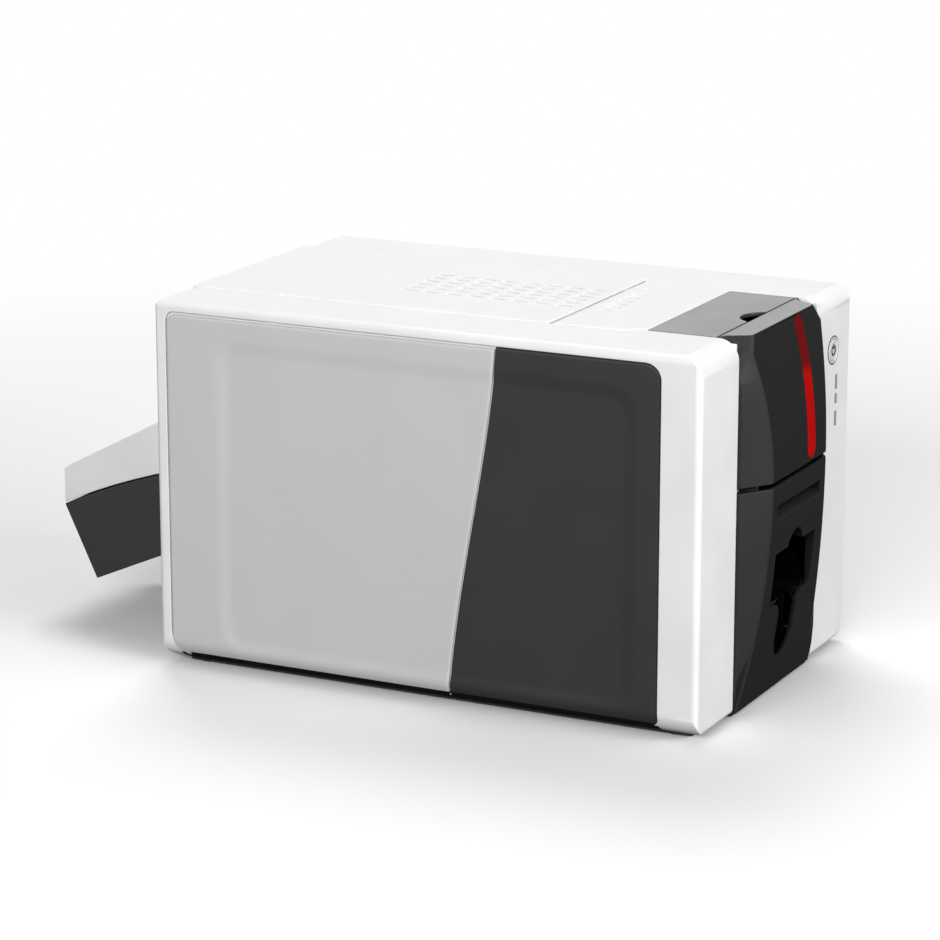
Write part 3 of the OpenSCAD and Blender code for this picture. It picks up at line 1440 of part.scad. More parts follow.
left_side_shell();
right_side_shell();
left_rear_side_panel();
left_front_side_panel();
right_rear_side_panel();
right_front_side_panel();
rear_top_cover();
rear_panel();
base_tray();
rubber_feet();
case_screws();
lower_front_fascia();
output_hopper();
frame_plates();
frame_tie_rods();
shaft_bushes();
lower_card_guide();
upper_card_guide();
drive_motor();
motor_pulley();
drive_belts();
ribbon_motor();
ribbon_pinion();
main_board();
control_board();
power_inlet();
power_switch_frame();
power_switch_rocker();
data_ports();
status_lenses();
control_button();
hinge_pins();
front_transport_roller();
platen_roller();
middle_transport_roller();
rear_transport_roller();
entry_roller();
pick_roller();
front_pinch_roller();
rear_pinch_roller();
entry_pinch_roller();
cleaning_roller();
ribbon_supply_spool();
ribbon_takeup_spool();
ribbon_film();
lid_front_cover();
lid_accent_strip();
lid_top_panel();
lid_rear_cover();
lid_inner_frame();
lid_latch();
print_head();
head_heatsink();
head_springs();
feeder_body();
feeder_cover();
card_pusher();
thickness_gauge();
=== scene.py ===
import json
import math

import bmesh
import bpy
import numpy as np
from mathutils import Matrix, Vector

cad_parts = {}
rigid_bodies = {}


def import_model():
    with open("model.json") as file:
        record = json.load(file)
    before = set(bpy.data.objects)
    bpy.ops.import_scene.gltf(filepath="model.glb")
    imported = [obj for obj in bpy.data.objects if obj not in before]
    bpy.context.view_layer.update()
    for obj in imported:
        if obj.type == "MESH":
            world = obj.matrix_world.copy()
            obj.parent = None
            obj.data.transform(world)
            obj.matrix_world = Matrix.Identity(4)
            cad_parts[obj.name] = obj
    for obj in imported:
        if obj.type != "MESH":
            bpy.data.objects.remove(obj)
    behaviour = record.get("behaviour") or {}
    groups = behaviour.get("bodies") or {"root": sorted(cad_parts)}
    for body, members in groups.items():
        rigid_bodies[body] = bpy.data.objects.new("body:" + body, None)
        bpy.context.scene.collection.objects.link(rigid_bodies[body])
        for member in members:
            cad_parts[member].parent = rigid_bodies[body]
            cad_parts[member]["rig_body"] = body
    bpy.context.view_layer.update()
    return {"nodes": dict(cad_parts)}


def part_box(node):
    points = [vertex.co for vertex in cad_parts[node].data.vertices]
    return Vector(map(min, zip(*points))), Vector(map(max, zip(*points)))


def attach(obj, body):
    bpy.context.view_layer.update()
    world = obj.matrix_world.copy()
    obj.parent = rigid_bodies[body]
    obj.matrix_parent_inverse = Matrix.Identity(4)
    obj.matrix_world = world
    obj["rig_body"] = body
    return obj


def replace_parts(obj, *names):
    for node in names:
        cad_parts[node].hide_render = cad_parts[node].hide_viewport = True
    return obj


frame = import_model()

# ---- Camera ----
# A long lens that looks down at the printer's left side and front. Its place and turn were worked out
# from the straight edges of the housing, so the shift stays at zero.
camera_data = bpy.data.cameras.new("studio_camera")
camera_data.sensor_width = 36.0
camera_data.lens = 137.3
camera_data.clip_end = 50.0
camera_place = (-1.6671, -0.8521, 0.5819)
camera = bpy.data.objects.new("studio_camera", camera_data)
bpy.context.scene.collection.objects.link(camera)
camera_right = Vector((0.4453, -0.8954, 0.0)).normalized()
camera_ahead = Vector((0.8667, 0.4310, -0.2514)).normalized()
camera_up = camera_right.cross(camera_ahead)
camera_turn = Matrix((camera_right, camera_up, -camera_ahead)).transposed().to_4x4()
camera.matrix_world = Matrix.Translation(camera_place) @ camera_turn
bpy.context.scene.camera = camera

# ---- Side shells ----
# The two tall white shells are injection moulded in ABS with a fine spark-eroded grain. Their outer
# edges are round, and each carries a thin frame round the sunk side panel.


def srgb(r, g, b):
    """A colour written as 0 to 255 screen values, turned into the linear values that shaders use."""
    c = np.array([r, g, b]) / 255.0
    c = np.where(c <= 0.04045, c / 12.92, ((c + 0.055) / 1.055) ** 2.4)
    return (float(c[0]), float(c[1]), float(c[2]), 1.0)


def moulded_plastic(name, colour, roughness, grain=0.35, depth=0.012, cloud=0.03, coat=0.0, shine=0.5):
    """Injection-moulded plastic: an even colour with faint clouding, a spark-eroded grain of the given
    size and depth in millimetres, and a roughness that varies slowly over the surface. cloud is the share
    by which the colour varies, coat is a clear gloss layer, and shine is the strength of the reflection."""
    mat = bpy.data.materials.new(name)
    mat.use_nodes = True
    tree = mat.node_tree
    skin = tree.nodes["Principled BSDF"]
    place = tree.nodes.new("ShaderNodeTexCoord")
    clouds = tree.nodes.new("ShaderNodeTexNoise")
    clouds.inputs["Scale"].default_value = 28.0
    clouds.inputs["Detail"].default_value = 3.0
    tint = tree.nodes.new("ShaderNodeValToRGB")
    low = [max(0.0, v * (1.0 - cloud)) for v in colour[:3]]
    high = [min(1.0, v * (1.0 + cloud)) for v in colour[:3]]
    tint.color_ramp.elements[0].position = 0.3
    tint.color_ramp.elements[0].color = (*low, 1.0)
    tint.color_ramp.elements[1].position = 0.7
    tint.color_ramp.elements[1].color = (*high, 1.0)
    polish = tree.nodes.new("ShaderNodeMapRange")
    polish.inputs["From Min"].default_value = 0.3
    polish.inputs["From Max"].default_value = 0.7
    polish.inputs["To Min"].default_value = roughness - 0.03
    polish.inputs["To Max"].default_value = roughness + 0.03
    sparks = tree.nodes.new("ShaderNodeTexNoise")
    sparks.inputs["Scale"].default_value = 1000.0 / grain
    sparks.inputs["Detail"].default_value = 2.0
    bump = tree.nodes.new("ShaderNodeBump")
    bump.inputs["Strength"].default_value = 0.35
    bump.inputs["Distance"].default_value = depth / 1000.0
    links = tree.links
    links.new(place.outputs["Object"], clouds.inputs["Vector"])
    links.new(place.outputs["Object"], sparks.inputs["Vector"])
    links.new(clouds.outputs["Fac"], tint.inputs["Fac"])
    links.new(clouds.outputs["Fac"], polish.inputs["Value"])
    links.new(tint.outputs["Color"], skin.inputs["Base Color"])
    links.new(polish.outputs["Result"], skin.inputs["Roughness"])
    links.new(sparks.outputs["Fac"], bump.inputs["Height"])
    links.new(bump.outputs["Normal"], skin.inputs["Normal"])
    skin.inputs["IOR"].default_value = 1.5
    skin.inputs["Specular IOR Level"].default_value = shine
    skin.inputs["Coat Weight"].default_value = coat
    skin.inputs["Coat Roughness"].default_value = 0.18
    return mat


def eased(node, width, finish, steps=3, weight=50):
    """Copy of a CAD node whose loose triangles are merged into flat faces and whose sharp edges are
    rounded to the given width in millimetres. It stands for the node and moves with its body. steps is
    the number of faces across a rounding, and weight is how far large faces rule the shading."""
    joined, flat, sharp = 3e-6, math.radians(0.4), math.radians(34)
    source = frame["nodes"][node]
    mesh = source.data.copy()
    mesh.name = node + "_moulding"
    shape = bmesh.new()
    shape.from_mesh(mesh)
    bmesh.ops.remove_doubles(shape, verts=shape.verts, dist=joined)
    bmesh.ops.dissolve_limit(shape, angle_limit=flat, verts=shape.verts, edges=shape.edges)
    shape.to_mesh(mesh)
    shape.free()
    mesh.materials.clear()
    mesh.materials.append(finish)
    mesh.polygons.foreach_set("use_smooth", np.ones(len(mesh.polygons), bool))
    piece = bpy.data.objects.new(node + "_moulding", mesh)
    bpy.context.scene.collection.objects.link(piece)
    rounding = piece.modifiers.new("rounded_edges", "BEVEL")
    rounding.width = width / 1000.0
    rounding.segments = steps
    rounding.limit_method = "ANGLE"
    rounding.angle_limit = sharp
    rounding.use_clamp_overlap = False
    shading = piece.modifiers.new("even_shading", "WEIGHTED_NORMAL")
    shading.weight = weight
    shading.keep_sharp = True
    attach(piece, source["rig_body"])
    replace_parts(piece, node)
    return piece


shell_white = moulded_plastic("shell_white_abs", srgb(234, 234, 235), 0.42, shine=0.25)
for shell in ("left_side_shell", "right_side_shell"):
    eased(shell, 0.5, shell_white)

# ---- Side panels ----
# Each side has two thin skins that meet at a slanting, slightly curved joint: pale grey behind and
# charcoal in front. A shallow field with soft borders is dished into both as one surface, and the lowest
# strip of both skins is painted near-black as painted shade under the body.
front_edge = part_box("left_side_shell")[0].y * 1000.0
bottom_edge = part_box("left_side_shell")[0].z * 1000.0
shell_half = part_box("right_side_shell")[1].x * 1000.0


def to_metres(points):
    """Points in millimetres from the middle plane, the shells' front face and the shells' underside,
    moved to the model's place and turned into metres."""
    return (np.asarray(points, float) + np.array([0.0, front_edge, bottom_edge])) / 1000.0


def inside_distance(y, z, low, high, radii):
    """Distance from a point to the border of a rectangle with a radius of its own at each corner
    (low front, low rear, top rear, top front). It is positive inside."""
    middle = (np.array(low) + np.array(high)) / 2.0
    half = (np.array(high) - np.array(low)) / 2.0
    py, pz = y - middle[0], z - middle[1]
    r = np.where(py < 0, np.where(pz < 0, radii[0], radii[3]), np.where(pz < 0, radii[1], radii[2]))
    qy, qz = np.abs(py) - half[0] + r, np.abs(pz) - half[1] + r
    return r - np.minimum(np.maximum(qy, qz), 0.0) - np.hypot(np.maximum(qy, 0.0), np.maximum(qz, 0.0))


def smooth_step(t):
    """Rises from 0 to 1 with level ends."""
    t = np.clip(t, 0.0, 1.0)
    return t * t * (3.0 - 2.0 * t)


def joint_line(z):
    """Place of the two-tone joint at height z: half a straight slant, half a smooth step. It runs 26.5 mm
    back over the 186 mm below its upper end."""
    top, tall, front, slant = 190.0, 186.0, 111.9, 26.5
    t = (top - z) / tall
    return front + slant * (0.5 * t + 0.5 * (3.0 * t * t - 2.0 * t ** 3))


def under_curve(z, depth):
    """Distance from the middle plane of a surface that lies the given depth below the shell's outer face:
    upright above 12 mm, and below that a quarter circle that turns under the shell."""
    curve = 12.0
    drop = np.clip(curve - z, 0.0, 11.0)
    return shell_half - curve + np.sqrt((curve - depth) ** 2 - np.minimum(drop, 11.9 - depth) ** 2)


def mesh_piece(name, points, faces, finish, body, crisp=0):
    """Makes one piece from an array of points in metres and a list of faces and rides it on its body.
    crisp is the angle in degrees from which an edge is sharp."""
    mesh = bpy.data.meshes.new(name)
    mesh.from_pydata(points.reshape(-1, 3).tolist(), [], faces)
    mesh.polygons.foreach_set("use_smooth", np.ones(len(mesh.polygons), bool))
    mesh.materials.append(finish)
    mesh.update()
    piece = bpy.data.objects.new(name, mesh)
    bpy.context.scene.collection.objects.link(piece)
    if crisp:
        mesh.set_sharp_from_angle(angle=math.radians(crisp))
    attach(piece, body)
    return piece


def grid_faces(rows, columns, close_rows=False, close_columns=False, start=0):
    """Quads of a grid of points with the given number of rows and columns, closed round where asked."""
    i = np.arange(rows if close_rows else rows - 1)
    j = np.arange(columns if close_columns else columns - 1)
    i, j = np.meshgrid(i, j, indexing="ij")
    i1, j1 = (i + 1) % rows, (j + 1) % columns
    quads = np.stack([i * columns + j, i1 * columns + j, i1 * columns + j1, i * columns + j1], -1)
    return (quads.reshape(-1, 4) + start).tolist()


def side_panel(name, sign, low, high, radii, rear, proud, finish):
    """Skin of one side panel. Its rows follow the height and its columns run from the two-tone joint to
    the far edge, closer together at the rounded corners and the rounded rim. The outer face is sunk by
    the smooth dish, and the rim rolls over a quarter circle to the panel's back. Below 5 mm the skin laps
    over the shell's curved underside by a quarter millimetre, and its front edge flares forward."""
    roll, thick, lap_top = 1.2, 1.7, 5.0
    rim = roll * (1.0 - np.cos(np.linspace(0.0, np.pi / 2.0, 5)))
    tall = high[1] - low[1]
    v = np.concatenate([rim / tall, np.linspace(0.012, 0.988, 90), 1.0 - rim[::-1] / tall])
    corner = (1.0 - np.sin(np.linspace(0.0, np.pi / 2.0, 18)))[::-1]
    far = high[0] if rear else low[0]
    joint_middle, r_far = 125.0, 12.0
    wide = abs(far - joint_middle)
    u = np.concatenate([rim / wide, np.linspace(0.012, 1.0 - r_far / wide, 110),
        1.0 - corner[::-1][1:] * r_far / wide])
    uu, vv = np.meshgrid(u, v)
    gap = 0.2 if rear else -0.2
    below = np.clip((lap_top - low[1] - vv * tall) / lap_top, 0.0, 0.98)
    flare = 0.0 if rear else 2.6 * (1.0 - np.sqrt(1.0 - below ** 2))
    far = far - flare
    y = (joint_line(low[1] + vv * tall) + gap) * (1.0 - uu) + far * uu
    from_far = np.abs(y - far)

    def corner_rise(radius):
        """How far a rounded corner lifts the edge at this distance from the far end."""
        inside = np.clip(radius - from_far, 0.0, radius)
        return radius - np.sqrt(np.maximum(radius ** 2 - inside ** 2, 0.0))

    floor = low[1] + corner_rise(radii[1] if rear else radii[0])
    roof = high[1] - corner_rise(radii[2] if rear else radii[3])
    z = floor + vv * (roof - floor)
    field_low, field_high = (0.0, low[1]) if rear else low, high if rear else (300.0, high[1])
    edge = inside_distance(y, z, field_low, field_high, radii)
    edge = np.minimum(np.minimum(edge, np.abs(y - far)), np.abs(y - joint_line(z) - gap))
    edge = np.clip(edge, 0.0, roll)
    dish = inside_distance(y, z, (36.5, 10.5), (271.0, 175.5), (12.0, 14.0, 12.0, 12.0))
    sunk = 0.8 * smooth_step(dish / 9.0 + 0.35)
    depth = roll - np.sqrt(np.maximum(roll ** 2 - (roll - edge) ** 2, 0.0))
    lap = 0.25 * smooth_step((lap_top - z) / 1.2)
    x = sign * under_curve(z, (proud + sunk + depth) * (1.0 - lap * 4.0) - lap)
    face = to_metres(np.stack([x, y, z], -1))
    rows, columns = y.shape
    border = np.concatenate([np.arange(columns), np.arange(1, rows) * columns + columns - 1,
        (rows - 1) * columns + np.arange(columns - 2, -1, -1), np.arange(rows - 2, 0, -1) * columns])
    back = face.reshape(-1, 3)[border].copy()
    back[:, 0] = sign * under_curve(back[:, 2] * 1000.0 - bottom_edge, proud + thick) / 1000.0
    middle = back.mean(0, keepdims=True)
    points = np.concatenate([face.reshape(-1, 3), back, middle])
    faces = grid_faces(rows, columns)
    n, first = len(border), rows * columns
    ring = np.arange(n)
    after = (ring + 1) % n
    wall = np.stack([border[ring], border[after], first + after, first + ring], -1).tolist()
    lid = np.stack([first + ring, first + after, np.full(n, first + n)], -1).tolist()
    flip = (sign < 0) != rear
    faces = faces + [w[::-1] for w in wall] + [w[::-1] for w in lid]
    if flip:
        faces = [f[::-1] for f in faces]
    return mesh_piece(name, points, faces, finish, "printer")


def give_faces(piece, finish, rule):
    """Adds a second finish to a piece and gives it to the faces that the rule picks. The rule is called
    with the faces' middles in millimetres from the shells' front corner and with their outward normals."""
    mesh = piece.data
    mesh.materials.append(finish)
    count = len(mesh.polygons)
    middles, normals = np.empty(count * 3), np.empty(count * 3)
    mesh.polygons.foreach_get("center", middles)
    mesh.polygons.foreach_get("normal", normals)
    middles = middles.reshape(-1, 3) * 1000.0 - np.array([0.0, front_edge, bottom_edge])
    index = np.zeros(count, int)
    mesh.polygons.foreach_get("material_index", index)
    index[rule(middles, normals.reshape(-1, 3))] = len(mesh.materials) - 1
    mesh.polygons.foreach_set("material_index", index)


panel_pale = moulded_plastic("panel_pale_abs", srgb(200, 200, 203), 0.5, cloud=0.012, shine=0.35)
panel_dark = moulded_plastic("panel_charcoal_abs", srgb(53, 53, 52), 0.5, shine=0.22)
# Painted shade: the lowest 4.4 mm of both skins, where they turn under the body, are painted near-black as the
# shade and contact shadow there.
shade_band_paint = moulded_plastic("painted_shade_band_abs", srgb(17, 17, 17), 0.6, shine=0.1)
shade_band_height = 4.4
panel_corners = (0.1, 11.6, 4.6, 8.1)
for side, sign in (("left", -1.0), ("right", 1.0)):
    skin = side_panel(side + "_rear_panel_skin", sign, (21.9, 1.0), (302.6, 188.5), panel_corners, True,
        0.0, panel_pale)
    give_faces(skin, shade_band_paint, lambda middles, normals: middles[:, 2] < shade_band_height)
    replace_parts(skin, side + "_rear_side_panel")
    skin = side_panel(side + "_front_panel_skin", sign, (21.9, 1.0), (302.6, 189.6), panel_corners, False,
        0.3, panel_dark)
    give_faces(skin, shade_band_paint, lambda middles, normals: middles[:, 2] < shade_band_height)
    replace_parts(skin, side + "_front_side_panel")

# ---- Rear covers ----
# The white top cover lies between the shells and is slotted for the head's warm air. The rear panel is a
# flat moulding with the feeder's window and the sockets.


def dress(node, finish):
    """Gives a CAD node its material."""
    for slot in frame["nodes"][node].material_slots:
        slot.material = finish


cover_white = moulded_plastic("cover_white_abs", srgb(235, 235, 235), 0.42, shine=0.2)
dress("rear_top_cover", cover_white)
eased("rear_panel", 0.3, panel_pale, steps=2, weight=100)

# ---- Base ----
# A moulded charcoal tray closes the underside and stands on four turned rubber feet. Cross-head steel
# screws hold it to the shells.
tray_dark = moulded_plastic("tray_charcoal_abs", srgb(48, 48, 48), 0.55, grain=0.8, depth=0.03)
foot_rubber = moulded_plastic("foot_rubber", srgb(26, 26, 26), 0.8, grain=0.5, depth=0.05, cloud=0.12)
eased("base_tray", 0.3, tray_dark, steps=2)


def softened(line, r):
    """Rounds the corners of a list of points: each corner is cut back by r, or by a third of its shorter
    side, on both sides, and one point between the cuts is set a little towards the corner."""
    line = np.array(line, float)
    before, after = line[:-2] - line[1:-1], line[2:] - line[1:-1]
    far, near = np.linalg.norm(before, axis=1), np.linalg.norm(after, axis=1)
    cut = np.minimum(r, np.minimum(far, near) / 3.0)[:, None]
    p = line[1:-1] + before / far[:, None] * cut
    q = line[1:-1] + after / near[:, None] * cut
    m = (p + q) / 4.0 + line[1:-1] / 2.0
    return np.concatenate([line[:1], np.stack([p, m, q], 1).reshape(-1, 2), line[-1:]])


def turned(name, node, axis, at, profile, finish, around=48, teeth=0, bite=0.0, toothed=(0.0, 0.0)):
    """Surface of revolution that rides with a CAD node. The profile is a list of (place along the axis,
    radius) in millimetres that starts and ends on the axis, and at is the axis's place in the other two
    directions. Between the two places of toothed, the radius is cut in by bite times a steep cosine wave
    of the angle, with as many waves to the turn as there are teeth."""
    line = softened(profile, 0.35)
    rings, poles = line[1:-1], line[[0, -1], 0]
    turn = np.linspace(0.0, 2.0 * np.pi, around, endpoint=False)
    radius = rings[:, 1:2] + 0.0 * turn
    if teeth:
        wave = np.clip(0.5 + 1.4 * np.cos(teeth * turn), 0.0, 1.0)
        cut = (rings[:, 0] > toothed[0]) & (rings[:, 0] < toothed[1])
        radius = radius - np.where(cut[:, None], bite * wave, 0.0)
    grid = np.stack([rings[:, 0:1] + 0.0 * turn, at[0] + radius * np.cos(turn),
        at[1] + radius * np.sin(turn)], -1)
    ends = np.array([[poles[0], at[0], at[1]], [poles[1], at[0], at[1]]])
    points = np.roll(np.concatenate([grid.reshape(-1, 3), ends]), {"x": 0, "y": 1, "z": 2}[axis], axis=-1)
    n, count = around, len(rings) * around
    j = np.arange(n)
    k = (j + 1) % n
    faces = [f[::-1] for f in grid_faces(len(rings), n, close_columns=True)]
    faces += np.stack([np.full(n, count), k, j], -1).tolist()
    faces += np.stack([np.full(n, count + 1), count - n + j, count - n + k], -1).tolist()
    piece = mesh_piece(name, points / 1000.0, faces, finish, frame["nodes"][node]["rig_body"])
    shading = piece.modifiers.new("even_shading", "WEIGHTED_NORMAL")
    shading.weight = 50
    return piece


def box_mm(node):
    """Lowest and highest corner of a node in millimetres."""
    low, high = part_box(node)
    return np.array(low) * 1000.0, np.array(high) * 1000.0


feet_low, feet_high = box_mm("rubber_feet")
foot_radius = 8.0
foot_profile = [(0.6, 0.0), (0.6, 3.8), (0.0, 4.4), (0.0, 5.3), (0.3, 5.5), (0.3, 6.0), (0.0, 6.2), (0.0, 7.6),
    (0.4, foot_radius), (1.5, foot_radius), (2.0, 7.0), (3.0, 7.0), (3.0, 0.0)]
foot_places = [(x, y) for x in (feet_low[0] + foot_radius, feet_high[0] - foot_radius)
    for y in (feet_low[1] + foot_radius, feet_high[1] - foot_radius)]
for number, foot_place in enumerate(foot_places):
    foot = turned("turned_foot_%d" % (number + 1), "rubber_feet", "z", foot_place, foot_profile, foot_rubber,
        around=64)
    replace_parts(foot, "rubber_feet")


def drawn_metal(name, colour, roughness, stretch=(1.0, 1.0, 30.0), scale=900.0, scratch=0.004):
    """Metal with a drawn or ground grain: noise stretched along one axis sets the roughness, a faint
    change of tone and a very shallow bump, whose depth is scratch in millimetres."""
    mat = bpy.data.materials.new(name)
    mat.use_nodes = True
    tree = mat.node_tree
    skin = tree.nodes["Principled BSDF"]
    place = tree.nodes.new("ShaderNodeTexCoord")
    pull = tree.nodes.new("ShaderNodeMapping")
    pull.inputs["Scale"].default_value = [1.0 / s for s in stretch]
    lines = tree.nodes.new("ShaderNodeTexNoise")
    lines.inputs["Scale"].default_value = scale
    lines.inputs["Detail"].default_value = 4.0
    tone = tree.nodes.new("ShaderNodeValToRGB")
    tone.color_ramp.elements[0].color = (*[v * 0.82 for v in colour[:3]], 1.0)
    tone.color_ramp.elements[1].color = (*[min(1.0, v * 1.1) for v in colour[:3]], 1.0)
    polish = tree.nodes.new("ShaderNodeMapRange")
    polish.inputs["To Min"].default_value = max(0.03, roughness - 0.08)
    polish.inputs["To Max"].default_value = roughness + 0.08
    bump = tree.nodes.new("ShaderNodeBump")
    bump.inputs["Strength"].default_value = 0.3
    bump.inputs["Distance"].default_value = scratch / 1000.0
    links = tree.links
    links.new(place.outputs["Object"], pull.inputs["Vector"])
    links.new(pull.outputs["Vector"], lines.inputs["Vector"])
    links.new(lines.outputs["Fac"], tone.inputs["Fac"])
    links.new(lines.outputs["Fac"], polish.inputs["Value"])
    links.new(tone.outputs["Color"], skin.inputs["Base Color"])
    links.new(polish.outputs["Result"], skin.inputs["Roughness"])
    links.new(lines.outputs["Fac"], bump.inputs["Height"])
    links.new(bump.outputs["Normal"], skin.inputs["Normal"])
    skin.inputs["Metallic"].default_value = 1.0
    return mat


screw_steel = drawn_metal("screw_steel", srgb(170, 170, 172), 0.3)
dress("case_screws", screw_steel)

# ---- Front mouldings ----
# The dark front is semi-gloss ABS in two pieces that meet under the lid. It bulges between the shells,
# and the lower piece holds the card slot and the output opening with its thumb notch.
front_dark = moulded_plastic("front_dark_abs", srgb(35, 35, 35), 0.6, grain=0.3, depth=0.006, shine=0.02)
# Painted light: the flanks get a lighter copy of the front's plastic, standing in for the light that falls on them.
flank_painted_light = moulded_plastic("flank_painted_light_abs", srgb(42, 42, 41), 0.5, grain=0.3, depth=0.006, shine=0.2)
inner_black = moulded_plastic("inner_black_plastic", srgb(15, 15, 15), 0.6, grain=0.6, depth=0.02, cloud=0.08,
    shine=0.2)


def on_flank(middles, normals):
    """Picks the slanting side faces of the bulging front, which are painted lighter than its front face as painted
    light.
    """
    return (np.abs(normals[:, 0]) > 0.16) & (np.abs(middles[:, 0]) > 36.0) & (normals[:, 1] < 0.4)


fascia = eased("lower_front_fascia", 0.55, front_dark)
give_faces(fascia, flank_painted_light, on_flank)
# Painted shade: the hopper is a darker, less shiny black than the other black parts, standing in for the shade deep
# in the output opening.
hopper_painted_shade_black = moulded_plastic("hopper_painted_shade_plastic", srgb(8, 8, 8), 0.6, grain=0.6, depth=0.02, shine=0.05)
eased("output_hopper", 0.3, hopper_painted_shade_black, steps=2)

# ---- Steel frame ----
# Two punched plates of zinc-plated sheet carry every shaft in sintered bushes. Ground tie rods hold the
# plates apart.
plate_steel = drawn_metal("plate_zinc_steel", srgb(178, 180, 184), 0.36, stretch=(1.0, 20.0, 1.0), scale=500.0)
rod_steel = drawn_metal("rod_ground_steel", srgb(196, 197, 200), 0.2, stretch=(30.0, 1.0, 1.0))
bush_bronze = drawn_metal("bush_sintered_bronze", srgb(176, 134, 78), 0.5, stretch=(1.0, 1.0, 1.0), scale=2500.0)
eased("frame_plates", 0.15, plate_steel, steps=2)
dress("frame_tie_rods", rod_steel)
dress("hinge_pins", rod_steel)
dress("shaft_bushes", bush_bronze)

# ---- Card guides ----
# Black glass-filled nylon plates lead the card level through the head and down to the feeder. They are
# moulded, and screwed between the steel plates.
eased("lower_card_guide", 0.2, inner_black, steps=2)
eased("upper_card_guide", 0.2, inner_black, steps=2)

# ---- Rollers ----
# Driven rollers have a ground rubber sleeve, and idle ones are turned steel. The cleaning roller is a
# tacky blue one that lifts dust off the cards.
sleeve_rubber = moulded_plastic("sleeve_ground_rubber", srgb(44, 43, 42), 0.65, grain=0.25, depth=0.02, cloud=0.1)
cleaner_blue = moulded_plastic("cleaner_tacky_blue", srgb(52, 96, 150), 0.28, grain=1.2, depth=0.01, coat=0.3)
pulley_grey = moulded_plastic("pulley_grey_acetal", srgb(176, 178, 172), 0.38, grain=0.5, depth=0.006)


def middle_of(node):
    """Middle of a node's box across the printer's side, in millimetres."""
    low, high = box_mm(node)
    return ((low[1] + high[1]) / 2.0, (low[2] + high[2]) / 2.0)


def shaft_profile(low, high, radius, groove):
    """Profile of a ground shaft with chamfered ends and one clip groove near its lower end."""
    neck = radius - 0.4
    return [(low, 0.0), (low, neck), (low + 0.4, radius), (low + groove, radius), (low + groove, neck),
        (low + groove + 0.6, neck), (low + groove + 0.6, radius), (high - 0.4, radius), (high, neck), (high, 0.0)]


def pulley_profile(x, radius):
    """Profile of a belt pulley with two flanges, 5 mm apart, and a boss on its outer side."""
    rim = radius + 1.6
    return [(x - 1.0, 0.0), (x - 1.0, radius + 1.2), (x - 0.6, rim), (x - 0.3, rim), (x, radius + 1.1),
        (x + 0.02, radius), (x + 4.98, radius), (x + 5.0, radius + 1.1), (x + 5.3, rim), (x + 5.6, rim),
        (x + 6.0, radius + 1.2), (x + 6.0, 3.4), (x + 6.4, 3.2), (x + 6.4, 0.0)]


def driven(node, sleeve, half, pulleys, teeth):
    """Dresses one driven roller: a shaft, a ground rubber sleeve with a faint crown, and its pulleys, each
    given as its place on the shaft and its radius."""
    at = middle_of(node)
    low, high = box_mm(node)
    shaft = turned(node + "_shaft", node, "x", at, shaft_profile(low[0], high[0], 2.5, 0.7), rod_steel)
    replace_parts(shaft, node)
    turned(node + "_sleeve", node, "x", at, [(-half, 0.0), (-half, sleeve - 0.9), (-half + 0.6, sleeve - 0.05),
        (-half * 0.5, sleeve - 0.01), (0.0, sleeve), (half * 0.5, sleeve - 0.01), (half - 0.6, sleeve - 0.05),
        (half, sleeve - 0.9), (half, 0.0)], sleeve_rubber, around=64)
    for number, (x, radius) in enumerate(pulleys):
        turned("%s_pulley_%d" % (node, number + 1), node, "x", at, pulley_profile(x, radius), pulley_grey,
            around=teeth[number] * 6, teeth=teeth[number], bite=0.6, toothed=(x + 0.01, x + 4.99))


long_belt_x, rear_belt_x = 39.9, 47.9
drum, small_wheel, pick_wheel_radius = 9.0, 4.2, 5.6
for roller, half in (("front_transport_roller", 26.0), ("platen_roller", 29.0), ("middle_transport_roller", 26.0)):
    driven(roller, 6.0, half, [(long_belt_x, drum)], [28])
driven("rear_transport_roller", 6.0, 26.0, [(long_belt_x, drum), (rear_belt_x, small_wheel)], [28, 13])
driven("entry_roller", 6.0, 26.0, [(rear_belt_x, small_wheel)], [13])
driven("pick_roller", 8.0, 12.0, [(rear_belt_x, pick_wheel_radius)], [17])
for roller, radius in (("front_pinch_roller", 3.0), ("rear_pinch_roller", 4.0), ("entry_pinch_roller", 4.0)):
    low, high = box_mm(roller)
    shaft = turned(roller + "_shaft", roller, "x", middle_of(roller), shaft_profile(low[0], high[0], 1.5, 0.6),
        rod_steel)
    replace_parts(shaft, roller)
    for side, start in (("left", -22.0), ("right", 8.0)):
        turned(roller + "_" + side + "_tyre", roller, "x", middle_of(roller), [(start, 0.0), (start, radius - 0.6),
            (start + 0.5, radius), (start + 6.4, radius), (start + 6.6, radius - 0.5), (start + 7.4, radius - 0.5),
            (start + 7.6, radius), (start + 13.5, radius), (start + 14.0, radius - 0.6), (start + 14.0, 0.0)],
            pulley_grey)
low, high = box_mm("cleaning_roller")
shaft = turned("cleaning_roller_shaft", "cleaning_roller", "x", middle_of("cleaning_roller"),
    shaft_profile(low[0], high[0], 1.5, 0.6), rod_steel)
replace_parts(shaft, "cleaning_roller")
turned("cleaning_roller_sleeve", "cleaning_roller", "x", middle_of("cleaning_roller"), [(-26.0, 0.0), (-26.0, 4.4),
    (-25.4, 5.3), (-24.6, 6.0), (0.0, 6.0), (24.6, 6.0), (25.4, 5.3), (26.0, 4.4), (26.0, 0.0)], cleaner_blue,
    around=64)

